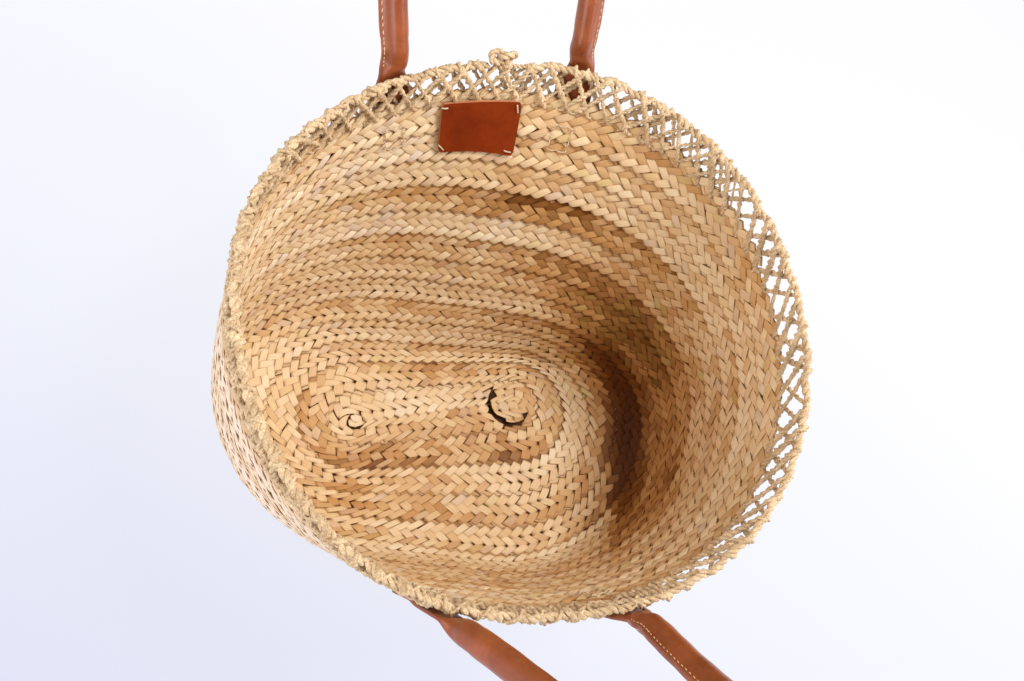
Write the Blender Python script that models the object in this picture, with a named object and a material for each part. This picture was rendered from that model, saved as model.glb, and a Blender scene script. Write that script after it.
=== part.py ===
"""Market basket sewn from one long plaited palm strip, with two rolled leather handles.

Metres, +Z up. X runs along the long axis of the floor, +Y to the back wall, which has the label.
The origin lies on the underside of the floor, under the middle of the return pass.
"""

from math import cos, hypot, pi, radians, sin, tan

import bmesh
import bpy
import numpy as np
from mathutils import Vector

# The strip and the way it is wound
STRIP_PITCH = 0.030
ROUNDS = 13
FLOOR_ROUNDS = 3
WALL = 0.004
JOINT_CORD = 0.0022
GAP = 0.0003
PLAIT_SEAT = 0.0006

# The plan of the floor, measured from the line between the two eyes of the winding
EYE_HALF_GAP = 0.088
EYE_TURN = radians(16.5)
TURN_ROUNDS = 5
CENTRE_SLIT = 0.0001
CORNER = 0.013
FLAT_RIGHT = 0.157
FLAT_LEFT = 0.135
FLAT_BACK = 0.065
FLAT_FRONT = 0.158
LEVEL_SLOPE = radians(12.0)
RIM_WAVES = 2
NORMAL_WAVES = 3

# The plan of the rim, and how far the soft wall bulges on the left at half height
RIM_RIGHT = 0.235
RIM_LEFT = 0.212
RIM_BACK = 0.206
RIM_FRONT = 0.217
BULGE_LEFT = 0.006
SKEW_SHARES = {2: -0.018, 3: -0.024, 4: -0.013}

# The openwork and the rope along its edge
OPENWORK_HEIGHT = 0.031
OPENWORK_CORD = 0.0046
OPENWORK_CORDS = 3
ZIGZAGS_ROUND = 24
LAYER_SHARE = 0.15
ROPE_RADIUS = 0.005
KNOT_RADIUS = 0.0065
ROPE_STOP_SHARE = 0.268
KNOT_START_SHARE = 0.278
KNOT_PROFILE_SHARES = ((0.0, 0.6), (0.25, 1.0), (0.75, 1.0), (1.0, 0.7))
ROPE_START_SHARE = 0.293

# The leather handles: places on the rim as shares of a round, counted from +X over the back
BACK_LEG_SHARES = (0.352, 0.237)
FRONT_LEG_SHARES = (0.823, 0.722)
BACK_LEAN = radians(31.0)
FRONT_LEAN = radians(24.0)
BACK_SPLAY = radians(3.0)
FRONT_SPLAY = radians(-14.0)
HANDLE_HEIGHT = 0.190
ARCH_RISE_SHARE = 0.62
ARCH_SHOULDER_SHARE = 0.80
ROLL_RADIUS = 0.010
LEATHER = 0.0024
HINGE_OUT = 0.015
HINGE_UP = 0.016
FOLD_RADIUS = 0.0045
FOLD_WIDTH = 0.019
FOLD_THICKNESS = 0.0044
ROLL_START = 0.024
FOLD_GRIP = 0.003
SEAT_ANGLES = (radians(245.0), radians(225.0), radians(205.0))

# The flat ends of the handles, sewn to the outside of the wall
TAB_REACH = 0.085
TAB_WIDTH = 0.034
TAB_ROPE_WIDTH = 0.028
TAB_THICKNESS = 0.003
TAB_RAMP = 0.012
THREAD = 0.0014
SEAM_MARGIN = 0.010
SEAM_HEIGHT = 0.024

# The leather label inside the back wall
LABEL_SHARE = 0.286
LABEL_DROP = 0.028
LABEL_WIDTH = 0.068
LABEL_HEIGHT = 0.052
LABEL_THICKNESS = 0.003
LABEL_STITCH_LENGTH = 0.008
LABEL_STITCH_INSET = 0.004

# Fineness of the faceted shapes
COLUMNS = 36
GRID_ROWS = 104
ROPE_SIDES = 8
ROLL_SIDES = 10
ROLL_STEPS = 16
FOLD_SIDES = 8
WELD = 0.000001

# Derived places
PLAIT_TOP = ROUNDS * STRIP_PITCH
ROPE_AT = PLAIT_TOP + OPENWORK_HEIGHT + ROPE_RADIUS
WALL_START = (FLOOR_ROUNDS - 1) * STRIP_PITCH
EYE_LINE_Y = STRIP_PITCH / 2

STRAW = (0.62, 0.42, 0.21)
CORD = (0.55, 0.44, 0.29)
TAN = (0.43, 0.13, 0.04)
BROWN = (0.30, 0.09, 0.02)
PALE_THREAD = (0.78, 0.66, 0.48)


def climb(v):
    """Share of the way up the wall at the distance v along the surface from the eye line."""
    return min(max((v - WALL_START) / (ROPE_AT - WALL_START), 0.0), 1.0)


def reach(v, start, flat, rim, bulge):
    """Plan distance from the eye line at v: level up to flat, then a straight climb to the rim."""
    slope = (rim - start - flat) / (ROPE_AT - flat)
    bend = CORNER * np.logaddexp(0.0, (v - flat) / CORNER)
    up = climb(v)
    return start + v - (1.0 - slope) * bend + 4.0 * up * (1.0 - up) * bulge


def quarter(side, end, straight, steps):
    """A quarter of a ring: an ellipse arc from the side, then a straight run, in equal steps."""
    angle = np.linspace(0.0, pi / 2, 60)
    x = np.append(straight + (side - straight) * np.cos(angle), 0.0)
    y = np.append(end * np.sin(angle), end)
    along = np.append(0.0, np.cumsum(np.hypot(np.diff(x), np.diff(y))))
    wanted = np.linspace(0.0, along[-1], steps + 1)
    return np.interp(wanted, along, x), np.interp(wanted, along, y)


def plan_ring(v):
    """Plan of the ring at v, counter-clockwise from +X, turned with the eyes near the centre."""
    straight = EYE_HALF_GAP * (1.0 - climb(v))
    right = reach(v, EYE_HALF_GAP, FLAT_RIGHT, RIM_RIGHT, 0.0)
    left = reach(v, EYE_HALF_GAP, FLAT_LEFT, RIM_LEFT, BULGE_LEFT)
    back = max(reach(v, 0.0, FLAT_BACK, RIM_BACK, 0.0), CENTRE_SLIT)
    front = max(reach(v, 0.0, FLAT_FRONT, RIM_FRONT, 0.0), CENTRE_SLIT)
    xs, ys = [], []
    for side, end, x_sign, y_sign in (
        (right, back, 1, 1), (left, back, -1, 1), (left, front, -1, -1), (right, front, 1, -1)
    ):
        x, y = quarter(side, end, straight, COLUMNS // 4)
        x, y = x * x_sign, y * y_sign
        if x_sign != y_sign:
            x, y = x[::-1], y[::-1]
        xs.append(x[:-1])
        ys.append(y[:-1])
    x, y = np.concatenate(xs), np.concatenate(ys)
    angle = np.arctan2(y, x)
    skew = sum(share * np.sin(waves * angle) for waves, share in SKEW_SHARES.items())
    swell = 1.0 + climb(v) ** 2 * skew
    turn = EYE_TURN * max(0.0, 1.0 - v / (TURN_ROUNDS * STRIP_PITCH))
    x, y = x * swell, y * swell
    return np.stack([x * cos(turn) - y * sin(turn), x * sin(turn) + y * cos(turn)], axis=1)


def even_out(values, most_waves):
    """Values that change round the basket in no more than the given number of waves."""
    waves = np.fft.rfft(values, axis=1)
    waves[:, most_waves + 1 :] = 0.0
    return np.fft.irfft(waves, n=COLUMNS, axis=1)


def basket_grid():
    """Middle surface of the plait: what the plan rings don't use of each step is its rise."""
    v = np.linspace(0.0, ROPE_AT, GRID_ROWS + 1)
    plan = np.array([plan_ring(distance) for distance in v])
    step = np.diff(plan, axis=0)
    side = np.roll(plan, -1, axis=1) - np.roll(plan, 1, axis=1)
    side = side[1:] + side[:-1]
    side /= np.linalg.norm(side, axis=2, keepdims=True)
    level = np.abs(step[..., 0] * side[..., 1] - step[..., 1] * side[..., 0]) / (v[1] - v[0])
    slope = np.arccos(np.clip(level, 0.0, 1.0))
    slope = np.maximum(slope - LEVEL_SLOPE, 0.0) / (pi / 2 - LEVEL_SLOPE) * pi / 2
    ease = np.clip((v[1:] - WALL_START) / STRIP_PITCH, 0.0, 1.0)
    rise = (v[1] - v[0]) * np.sin(slope * ease[:, None])
    height = np.maximum(even_out(np.cumsum(rise, axis=0), RIM_WAVES), 0.0)
    height = np.concatenate([np.zeros((1, COLUMNS)), height]) + WALL / 2
    return np.concatenate([plan + [0.0, EYE_LINE_Y], height[..., None]], axis=2)


def outward(grid):
    """Unit normals of the middle surface, pointing down under the floor and out of the wall."""
    around = np.roll(grid, -1, axis=1) - np.roll(grid, 1, axis=1)
    normal = np.cross(around, np.gradient(grid, axis=0))
    normal[0] = normal[1]
    normal = even_out(normal / np.linalg.norm(normal, axis=2, keepdims=True), NORMAL_WAVES)
    return normal / np.linalg.norm(normal, axis=2, keepdims=True)


GRID = basket_grid()
NORMALS = outward(GRID)


def read_grid(grid, u, v):
    """Value at the share u of a round and the distance v, between the grid's facets."""
    column = (u % 1.0) * COLUMNS
    row = min(max(v / ROPE_AT, 0.0), 1.0) * GRID_ROWS
    left, low = int(column) % COLUMNS, min(int(row), GRID_ROWS - 1)
    right, high = (left + 1) % COLUMNS, low + 1
    across, up = column - int(column), row - low
    below = grid[low, left] * (1.0 - across) + grid[low, right] * across
    above = grid[high, left] * (1.0 - across) + grid[high, right] * across
    return below * (1.0 - up) + above * up


def on_shell(u, v, depth):
    """Point at the depth outside the middle surface of the plait."""
    return read_grid(GRID, u, v) + read_grid(NORMALS, u, v) * depth


def around_and_up(u, v):
    """Change of place with u, and with v, on the middle surface."""
    small_u, small_v = 1.0 / COLUMNS, STRIP_PITCH / 2
    around = (read_grid(GRID, u + small_u, v) - read_grid(GRID, u - small_u, v)) / (2.0 * small_u)
    up = (read_grid(GRID, u, v) - read_grid(GRID, u, v - small_v)) / small_v
    return around, up


def on_patch(share, v, across, up, depth):
    """Point on the shell at square steps, across and up, from a place on it."""
    around, climbing = around_and_up(share, v)
    slide = -around.dot(climbing) / around.dot(around)
    return on_shell(share + across / np.linalg.norm(around) + slide * up, v + up, depth)


def round_length(v):
    """Length of the ring at v."""
    ring = np.array([read_grid(GRID, column / COLUMNS, v) for column in range(COLUMNS + 1)])
    return np.linalg.norm(np.diff(ring, axis=0), axis=1).sum()


def lay_grid(mesh, columns, rows, place):
    """Adds a grid of faces and moves each of its corners to place(column, row)."""
    grid = bmesh.ops.create_grid(mesh, x_segments=columns, y_segments=rows)
    for number, corner in enumerate(grid["verts"]):
        corner.co = place(number % (columns + 1), number // (columns + 1))


def lay_rings(mesh, rings, closed=False):
    """Adds a skin over a row of rings with as many points each, closed end to end if asked."""
    rings = rings + rings[:1] if closed else rings
    sides = len(rings[0])
    lay_grid(mesh, sides, len(rings) - 1, lambda column, row: rings[row][column % sides])


def paint(name, colour, roughness):
    """Plain material of one sub-part."""
    material = bpy.data.materials.new(name)
    material.use_nodes = True
    shader = material.node_tree.nodes["Principled BSDF"]
    shader.inputs["Base Color"].default_value = (*colour, 1.0)
    shader.inputs["Roughness"].default_value = roughness
    shader.inputs["Metallic"].default_value = 0.0
    return material


def keep(name, mesh, colour, roughness, smooth=False):
    """Closes the skins of the bmesh and turns it into the named object of one sub-part."""
    bmesh.ops.remove_doubles(mesh, verts=mesh.verts, dist=WELD)
    bmesh.ops.holes_fill(mesh, edges=mesh.edges, sides=0)
    bmesh.ops.recalc_face_normals(mesh, faces=mesh.faces)
    data = bpy.data.meshes.new(name)
    mesh.to_mesh(data)
    mesh.free()
    if smooth:
        data.shade_smooth()
        data.set_sharp_from_angle(angle=radians(50.0))
    data.materials.append(paint(name, colour, roughness))
    part = bpy.data.objects.new(name, data)
    bpy.context.scene.collection.objects.link(part)
    return part


def hinge_empty(name, place, direction):
    """Empty on a hinge line, with its X axis along the line."""
    empty = bpy.data.objects.new(name, None)
    bpy.context.scene.collection.objects.link(empty)
    empty.location = place
    empty.rotation_mode = "QUATERNION"
    empty.rotation_quaternion = Vector(direction.tolist()).to_track_quat("X", "Z")
    bpy.context.view_layer.update()
    return empty


def hang(part, empty):
    """Parents a part to a hinge empty and leaves it where it is."""
    part.parent = empty
    part.matrix_parent_inverse = empty.matrix_world.inverted()


def band_ring(low, high, inner, outer):
    """Closed band between two distances along the surface and two depths."""
    corners = ((low, inner), (high, inner), (high, outer), (low, outer))
    return [[on_shell(column / COLUMNS, v, depth) for v, depth in corners] for column in range(COLUMNS)]


def make_floor_passes():
    """The first two runs of the strip, side by side between the eyes, and the cord between them."""
    edge = STRIP_PITCH - JOINT_CORD / 2 - GAP
    half = COLUMNS // 2
    ring = [on_shell(column / COLUMNS, edge, WALL / 2) for column in range(COLUMNS)]
    along = (ring[0] - ring[half]) / np.linalg.norm(ring[0] - ring[half])
    aside = np.array([-along[1], along[0], 0.0])
    seam = JOINT_CORD / 2 + GAP
    lift = np.array([0.0, 0.0, 1.0])
    for name, sign, outline in (
        ("floor_start_pass", 1.0, ring[: half + 1]),
        ("floor_return_pass", -1.0, ring[half:] + ring[:1]),
    ):
        first, last = outline[1] - outline[0], outline[-2] - outline[-1]
        outline[0] = outline[0] + first * seam / first.dot(aside * sign)
        outline[-1] = outline[-1] + last * seam / last.dot(aside * sign)
        mesh = bmesh.new()
        lay_rings(mesh, [outline, [corner + lift * WALL for corner in outline]])
        keep(name, mesh, STRAW, 0.75)
    reach_along = along * (np.linalg.norm(ring[0] - ring[half]) / 2 - GAP)
    centre = (ring[0] + ring[half]) / 2 + lift * WALL / 2
    half_cord = JOINT_CORD / 2
    rings = []
    for end in (-1.0, 1.0):
        corners = ((-1.0, -1.0), (1.0, -1.0), (1.0, 1.0), (-1.0, 1.0))
        middle = centre + reach_along * end
        rings.append([middle + (aside * side + lift * up) * half_cord for side, up in corners])
    mesh = bmesh.new()
    lay_rings(mesh, rings)
    keep("joint_cord_centre", mesh, CORD, 0.8)


def make_rounds():
    """The other turns of the strip, three rounds in the floor and the rest up the wall."""
    for number in range(2, ROUNDS + 1):
        low = (number - 1) * STRIP_PITCH + JOINT_CORD / 2 + GAP
        high = number * STRIP_PITCH - JOINT_CORD / 2 - GAP
        if number == ROUNDS:
            high = PLAIT_TOP
        mesh = bmesh.new()
        lay_rings(mesh, band_ring(low, high, -WALL / 2, WALL / 2), closed=True)
        on_floor = number <= FLOOR_ROUNDS
        name = f"floor_round_{number}" if on_floor else f"wall_round_{number - FLOOR_ROUNDS:02d}"
        keep(name, mesh, STRAW, 0.75)


def make_joint_cords():
    """The cord that is laced through the edges of two neighbouring rounds."""
    half = JOINT_CORD / 2
    for number in range(1, ROUNDS):
        middle = number * STRIP_PITCH
        mesh = bmesh.new()
        lay_rings(mesh, band_ring(middle - half, middle + half, -half, half), closed=True)
        keep(f"joint_cord_{number:02d}", mesh, CORD, 0.8)


def make_openwork():
    """Cords that zigzag between the plait and the edge rope, one leg inside, the next outside."""
    low, high = PLAIT_TOP + GAP, ROPE_AT - ROPE_RADIUS - GAP
    run = round_length(PLAIT_TOP) / ZIGZAGS_ROUND / 2
    tall = OPENWORK_CORD * hypot(run, high - low) / run
    layer = OPENWORK_CORD / 2 + PLAIT_SEAT
    bottom, top = low + tall / 2, high - tall / 2
    for number in range(OPENWORK_CORDS):
        rings = []
        for leg in range(2 * ZIGZAGS_ROUND):
            start, end, side = (bottom, top, -layer) if leg % 2 == 0 else (top, bottom, layer)
            for way, out in ((0.0, 0.0), (LAYER_SHARE, side), (1.0 - LAYER_SHARE, side)):
                share = ((leg + way) / 2 + number / OPENWORK_CORDS) / ZIGZAGS_ROUND
                v = start + (end - start) * way
                rings.append(square_section(share, v, out, tall, OPENWORK_CORD))
        mesh = bmesh.new()
        lay_rings(mesh, rings, closed=True)
        keep(f"openwork_cord_{number + 1}", mesh, CORD, 0.8)


def square_section(share, v, out, tall, thick):
    """Upright four-cornered section of a cord on the shell."""
    corners = ((-0.5, -0.5), (0.5, -0.5), (0.5, 0.5), (-0.5, 0.5))
    return [on_shell(share, v + tall * up, out + thick * across) for up, across in corners]


def rope_section(share, radius, lift):
    """Round section of the edge rope, lifted along the wall by the given distance."""
    around, _ = around_and_up(share, ROPE_AT)
    normal = read_grid(NORMALS, share, ROPE_AT)
    upward = np.cross(normal, around / np.linalg.norm(around))
    middle = read_grid(GRID, share, ROPE_AT) + upward * lift
    angles = [2 * pi * (side + 0.5) / ROPE_SIDES for side in range(ROPE_SIDES)]
    return [middle + (upward * cos(angle) + normal * sin(angle)) * radius for angle in angles]


def make_rope():
    """The edge rope, open at the back where its ends meet, and the knot on its first end."""
    stations = [share / COLUMNS for share in range(COLUMNS + COLUMNS // 2)]
    stations = [share for share in stations if ROPE_START_SHARE < share < 1.0 + ROPE_STOP_SHARE]
    stations = [ROPE_START_SHARE, *stations, 1.0 + ROPE_STOP_SHARE]
    mesh = bmesh.new()
    lay_rings(mesh, [rope_section(share, ROPE_RADIUS, 0.0) for share in stations])
    keep("rim_rope", mesh, CORD, 0.8, smooth=True)
    end = ROPE_START_SHARE - GAP / round_length(ROPE_AT)
    mesh = bmesh.new()
    rings = []
    for way, width in KNOT_PROFILE_SHARES:
        share = KNOT_START_SHARE + (end - KNOT_START_SHARE) * way
        rings.append(rope_section(share, KNOT_RADIUS * width, KNOT_RADIUS - ROPE_RADIUS))
    lay_rings(mesh, rings)
    keep("rope_end_knot", mesh, CORD, 0.8, smooth=True)


class HandleFrame:
    """Directions and hinge points of one handle."""

    def __init__(self, shares, lean, splay):
        self.shares = shares
        self.splay = splay
        ropes = [on_shell(share, ROPE_AT, 0.0) for share in shares]
        chord = ropes[1] - ropes[0]
        self.out = np.array([-chord[1], chord[0], 0.0]) / np.hypot(chord[0], chord[1])
        self.along = chord / np.linalg.norm(chord)
        self.rise = np.cross(self.along, self.out)
        self.hinges = [rope + self.out * HINGE_OUT + self.rise * HINGE_UP for rope in ropes]
        self.spread = np.linalg.norm(chord)
        self.middle = (self.hinges[0] + self.hinges[1]) / 2
        self.up = self.rise * cos(lean) + self.out * sin(lean)
        self.face = self.out * cos(lean) - self.rise * sin(lean)

    def at(self, across, up, out=0.0):
        """Point in the leaning plane of the handle, from the middle of its hinge line."""
        return self.middle + self.along * across + self.up * up + self.face * out


def arch_path(handle, start):
    """Points and directions along the arch, beginning and ending at start from the hinges."""
    foot, top = handle.spread / 2, HANDLE_HEIGHT
    rise = top * ARCH_RISE_SHARE
    pull = (foot, foot + rise * sin(handle.splay), foot * ARCH_SHOULDER_SHARE, 0.0)
    lift = (0.0, rise * cos(handle.splay), top, top)
    t = np.linspace(0.0, 1.0, 80)
    shares = ((1 - t) ** 3, 3 * t * (1 - t) ** 2, 3 * t**2 * (1 - t), t**3)
    x = sum(share * value for share, value in zip(shares, pull))
    y = sum(share * value for share, value in zip(shares, lift))
    x, y = np.append(-x, x[-2::-1]), np.append(y, y[-2::-1])
    along = np.append(0.0, np.cumsum(np.hypot(np.diff(x), np.diff(y))))
    wanted = np.linspace(start, along[-1] - start, ROLL_STEPS + 1)
    points = [(np.interp(way, along, x), np.interp(way, along, y)) for way in wanted]
    run, climbing = np.gradient(x), np.gradient(y)
    slopes = [(np.interp(way, along, run), np.interp(way, along, climbing)) for way in wanted]
    return points, slopes


def tube_rings(handle, start, radius):
    """Sections of a round tube along the arch."""
    rings = []
    points, slopes = arch_path(handle, start)
    for (across, up), (run, climbing) in zip(points, slopes):
        length = np.hypot(run, climbing)
        side = (climbing / length, -run / length)
        ring = []
        for number in range(ROLL_SIDES):
            angle = 2 * pi * number / ROLL_SIDES
            reach_side = radius * cos(angle)
            ring.append(
                handle.at(across + side[0] * reach_side, up + side[1] * reach_side, radius * sin(angle))
            )
        rings.append(ring)
    return rings


def fold_rings(handle, sign):
    """Flat folded end of the leather: a round edge on the hinge line and a plate into the roll."""
    half = FOLD_THICKNESS / 2
    opening = np.arcsin(half / FOLD_RADIUS)
    angles = np.linspace(opening, 2 * pi - opening, FOLD_SIDES + 1)
    outline = [(FOLD_RADIUS * cos(angle), FOLD_RADIUS * sin(angle)) for angle in angles]
    end = ROLL_START + FOLD_GRIP
    outline += [(end, -half), (end, half)]
    rings = []
    for aside in (-FOLD_WIDTH / 2, FOLD_WIDTH / 2):
        ring = []
        for up, out in outline:
            lean = max(up, 0.0) * tan(handle.splay)
            ring.append(handle.at(sign * (handle.spread / 2 + lean) + aside, up, out))
        rings.append(ring)
    return rings


def make_handle(name, handle, empty):
    """The rolled leather with its two folded ends, and the rope core inside the roll."""
    mesh = bmesh.new()
    outer = tube_rings(handle, ROLL_START, ROLL_RADIUS)
    inner = tube_rings(handle, ROLL_START, ROLL_RADIUS - LEATHER)
    lay_rings(mesh, outer + inner[::-1], closed=True)
    leather = keep(f"{name}_leather", mesh, TAN, 0.45, smooth=True)
    for side, sign in (("left", -1.0), ("right", 1.0)):
        mesh = bmesh.new()
        lay_rings(mesh, fold_rings(handle, sign))
        fold = keep(f"{name}_{side}_fold", mesh, TAN, 0.45)
        fold.hide_render = True
        fold.display_type = "WIRE"
        joined = leather.modifiers.new(f"{side} fold", "BOOLEAN")
        joined.operation = "UNION"
        joined.object = fold
    mesh = bmesh.new()
    lay_rings(mesh, tube_rings(handle, ROLL_START, ROLL_RADIUS - LEATHER - GAP)[1:-1])
    core = keep(f"{name}_core", mesh, CORD, 0.8, smooth=True)
    for part in (leather, core):
        hang(part, empty)


def tab_rings(handle, number):
    """Sections of a sewn end: up the wall, over the openwork and the rope, to the folded edge."""
    share = handle.shares[number]
    skin = WALL / 2 + PLAIT_SEAT
    net = OPENWORK_CORD + 2 * PLAIT_SEAT
    rope = ROPE_RADIUS + PLAIT_SEAT
    low, ramp = -TAB_REACH, PLAIT_TOP - TAB_RAMP - ROPE_AT
    rows = [(low + (ramp - low) * way, skin, TAB_WIDTH) for way in (0.0, 1 / 3, 2 / 3, 1.0)]
    rows += [(PLAIT_TOP - ROPE_AT, net, TAB_WIDTH), (0.0, rope, TAB_ROPE_WIDTH)]
    steps = np.linspace(-0.5, 0.5, 5)
    rings = []
    for up, depth, width in rows:
        inner = [on_patch(share, ROPE_AT, step * width, up, depth) for step in steps]
        outer = [on_patch(share, ROPE_AT, step * width, up, depth + TAB_THICKNESS) for step in steps]
        rings.append(inner + outer[::-1])
    rings.append([corner + handle.rise * ROPE_RADIUS for corner in rings[-1]])
    hinge = handle.hinges[number]
    seat = FOLD_RADIUS + GAP
    for angle in SEAT_ANGLES:
        out, up = seat * cos(angle), seat * sin(angle)
        back = seat * cos(SEAT_ANGLES[-1]) - TAB_THICKNESS
        inner, outer = [], []
        for step in steps:
            base = hinge - handle.along * step * FOLD_WIDTH + handle.rise * up
            inner.append(base + handle.out * back)
            outer.append(base + handle.out * out)
        rings.append(inner + outer[::-1])
    return rings


def seam_rings(share, depth):
    """Closed rectangle of thread on the sewn part of a tab, at the given depth of its middle."""
    half_width = TAB_WIDTH / 4
    low, high = SEAM_MARGIN - TAB_REACH, SEAM_MARGIN - TAB_REACH + SEAM_HEIGHT
    stations = ((-1, low), (0, low), (1, low), (1, high), (0, high), (-1, high))
    rings = []
    for side, up in stations:
        sign = -1.0 if up == low else 1.0
        ring = []
        for grow, out in ((-0.5, -0.5), (0.5, -0.5), (0.5, 0.5), (-0.5, 0.5)):
            across = side * (half_width + grow * THREAD)
            ring.append(
                on_patch(share, ROPE_AT, across, up + sign * grow * THREAD, depth + out * THREAD)
            )
        rings.append(ring)
    return rings


def make_tabs(name, handle):
    """The flat sewn ends of one handle, and the thread that shows on both sides of the wall."""
    sides = ("left", "right") if name == "handle_back" else ("right", "left")
    outside = WALL / 2 + PLAIT_SEAT + TAB_THICKNESS + GAP + THREAD / 2
    inside = -WALL / 2 - PLAIT_SEAT - THREAD / 2
    for number, side in enumerate(sides):
        mesh = bmesh.new()
        lay_rings(mesh, tab_rings(handle, number))
        keep(f"{name}_{side}_tab", mesh, TAN, 0.5)
        for place, depth in (("outer", outside), ("inner", inside)):
            mesh = bmesh.new()
            lay_rings(mesh, seam_rings(handle.shares[number], depth), closed=True)
            keep(f"{name}_{side}_{place}_thread", mesh, PALE_THREAD, 0.7)


def make_label():
    """The leather plate inside the back wall, bare, and the stitch at each of its corners."""
    v = PLAIT_TOP - LABEL_DROP
    near = -WALL / 2 - PLAIT_SEAT
    far = near - LABEL_THICKNESS
    steps = np.linspace(-0.5, 0.5, 5)
    rings = []
    for up in (-LABEL_HEIGHT / 2, 0.0, LABEL_HEIGHT / 2):
        inner = [on_patch(LABEL_SHARE, v, step * LABEL_WIDTH, up, near) for step in steps]
        outer = [on_patch(LABEL_SHARE, v, step * LABEL_WIDTH, up, far) for step in steps]
        rings.append(inner + outer[::-1])
    mesh = bmesh.new()
    lay_rings(mesh, rings)
    keep("label_patch", mesh, BROWN, 0.5)
    middle = far - GAP - THREAD / 2
    number = 0
    for side in (-1.0, 1.0):
        across = side * (LABEL_WIDTH / 2 - LABEL_STITCH_INSET)
        for edge in (-1.0, 1.0):
            number += 1
            corner = edge * (LABEL_HEIGHT / 2 - LABEL_STITCH_INSET)
            rings = []
            for up in (corner, corner - edge * LABEL_STITCH_LENGTH):
                ring = []
                for aside, out in ((-0.5, -0.5), (0.5, -0.5), (0.5, 0.5), (-0.5, 0.5)):
                    depth = middle + out * THREAD
                    ring.append(on_patch(LABEL_SHARE, v, across + aside * THREAD, up, depth))
                rings.append(ring)
            mesh = bmesh.new()
            lay_rings(mesh, rings)
            keep(f"label_stitch_{number}", mesh, PALE_THREAD, 0.7)


def main():
    for old in list(bpy.data.objects):
        bpy.data.objects.remove(old, do_unlink=True)
    make_floor_passes()
    make_rounds()
    make_joint_cords()
    make_openwork()
    make_rope()
    for name, shares, lean, splay in (
        ("handle_back", BACK_LEG_SHARES, BACK_LEAN, BACK_SPLAY),
        ("handle_front", FRONT_LEG_SHARES, FRONT_LEAN, FRONT_SPLAY),
    ):
        handle = HandleFrame(shares, lean, splay)
        empty = hinge_empty(f"{name}_hinge", handle.middle, handle.along)
        make_handle(name, handle, empty)
        make_tabs(name, handle)
        print(name, "hinge at", handle.middle, "along", handle.along, "spread", handle.spread)
    make_label()


main()
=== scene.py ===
"""Looks of the plaited market basket with two rolled leather handles.

The shape functions repeat those of the solids in a finer grid, so each piece lies on its solid.
"""

from math import cos, pi, radians, sin, tan

import bmesh
import bpy
import numpy as np
from mathutils import Matrix, Vector

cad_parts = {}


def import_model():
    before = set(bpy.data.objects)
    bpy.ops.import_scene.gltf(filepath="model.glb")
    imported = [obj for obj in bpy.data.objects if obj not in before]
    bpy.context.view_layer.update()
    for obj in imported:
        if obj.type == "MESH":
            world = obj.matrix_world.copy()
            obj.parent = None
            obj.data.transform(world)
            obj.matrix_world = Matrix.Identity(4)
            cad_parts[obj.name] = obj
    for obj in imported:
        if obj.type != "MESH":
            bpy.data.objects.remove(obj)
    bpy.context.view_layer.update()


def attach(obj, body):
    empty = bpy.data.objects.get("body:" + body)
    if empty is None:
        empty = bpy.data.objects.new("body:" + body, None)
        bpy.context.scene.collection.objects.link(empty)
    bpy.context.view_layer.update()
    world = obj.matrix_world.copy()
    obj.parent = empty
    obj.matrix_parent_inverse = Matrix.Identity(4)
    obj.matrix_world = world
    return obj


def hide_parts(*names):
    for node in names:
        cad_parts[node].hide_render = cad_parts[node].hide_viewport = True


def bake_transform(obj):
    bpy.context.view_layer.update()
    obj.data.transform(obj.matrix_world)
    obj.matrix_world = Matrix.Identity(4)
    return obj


# The strip and the way it is wound
STRIP_PITCH = 0.030
ROUNDS = 13
FLOOR_ROUNDS = 3
WALL = 0.004
JOINT_CORD = 0.0022
JOINT_LAY = 0.009
JOINT_STEPS = 60
PLAIT_SEAT = 0.0006

# The plan of the floor, measured from the line between the two eyes of the winding
EYE_HALF_GAP = 0.088
EYE_TURN = radians(16.5)
TURN_ROUNDS = 5
CENTRE_SLIT = 0.0001
CORNER = 0.013
FLAT_RIGHT = 0.157
FLAT_LEFT = 0.135
FLAT_BACK = 0.065
FLAT_FRONT = 0.158
LEVEL_SLOPE = radians(12.0)
RIM_WAVES = 2
NORMAL_WAVES = 3

# The plan of the rim
RIM_RIGHT = 0.235
RIM_LEFT = 0.212
RIM_BACK = 0.206
RIM_FRONT = 0.217
BULGE_LEFT = 0.006
SKEW_SHARES = {2: -0.018, 3: -0.024, 4: -0.013}

# The openwork: its height, its cords and how often each goes up and down
OPENWORK_HEIGHT = 0.031
OPENWORK_CORD = 0.0046
OPENWORK_CORDS = 3
ZIGZAGS_ROUND = 24

# The route of an openwork cord from the plait over the rope, and its plies
LEG_STEPS = 12
LACE_DEPTH = 0.0035
LACE_STRAY = 0.0026
LACE_LAY = 0.013
LACE_PLY = 0.00158
LACE_TIGHTER = 0.00018
LIFT_SHARE = 0.18
WRAP_FROM_SHARE, WRAP_SHARE = 0.70, 0.30
OVER_FROM_SHARE, OVER_SHARE = 0.55, 0.45
WRAP_QUICKER = 1.15

# The thin cords between them, where the openwork is dense
FILL_SHIFT = 0.5
FILL_LAY = 0.011
FILL_PLY = 0.0008
FILL_THICKER = 0.0005
FILL_LEAST_DENSITY = 0.25
CORD_UNEVEN = 0.0003

# The rope along the edge
ROPE_RADIUS = 0.005
WRAP_RADIUS = 0.0033
ROPE_STEP = 0.0016
ROPE_LAY = 0.0135
ROPE_PLY = 0.0018
ROPE_PLY_OFFSET = 0.0015
ROPE_PLY_UNEVEN = 0.00035
ROPE_WAVE, ROPE_RIPPLE, ROPE_SWAY = 0.0011, 0.0008, 0.0006
ROPE_STOP_SHARE = 0.268
ROPE_START_SHARE = 0.293

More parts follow.
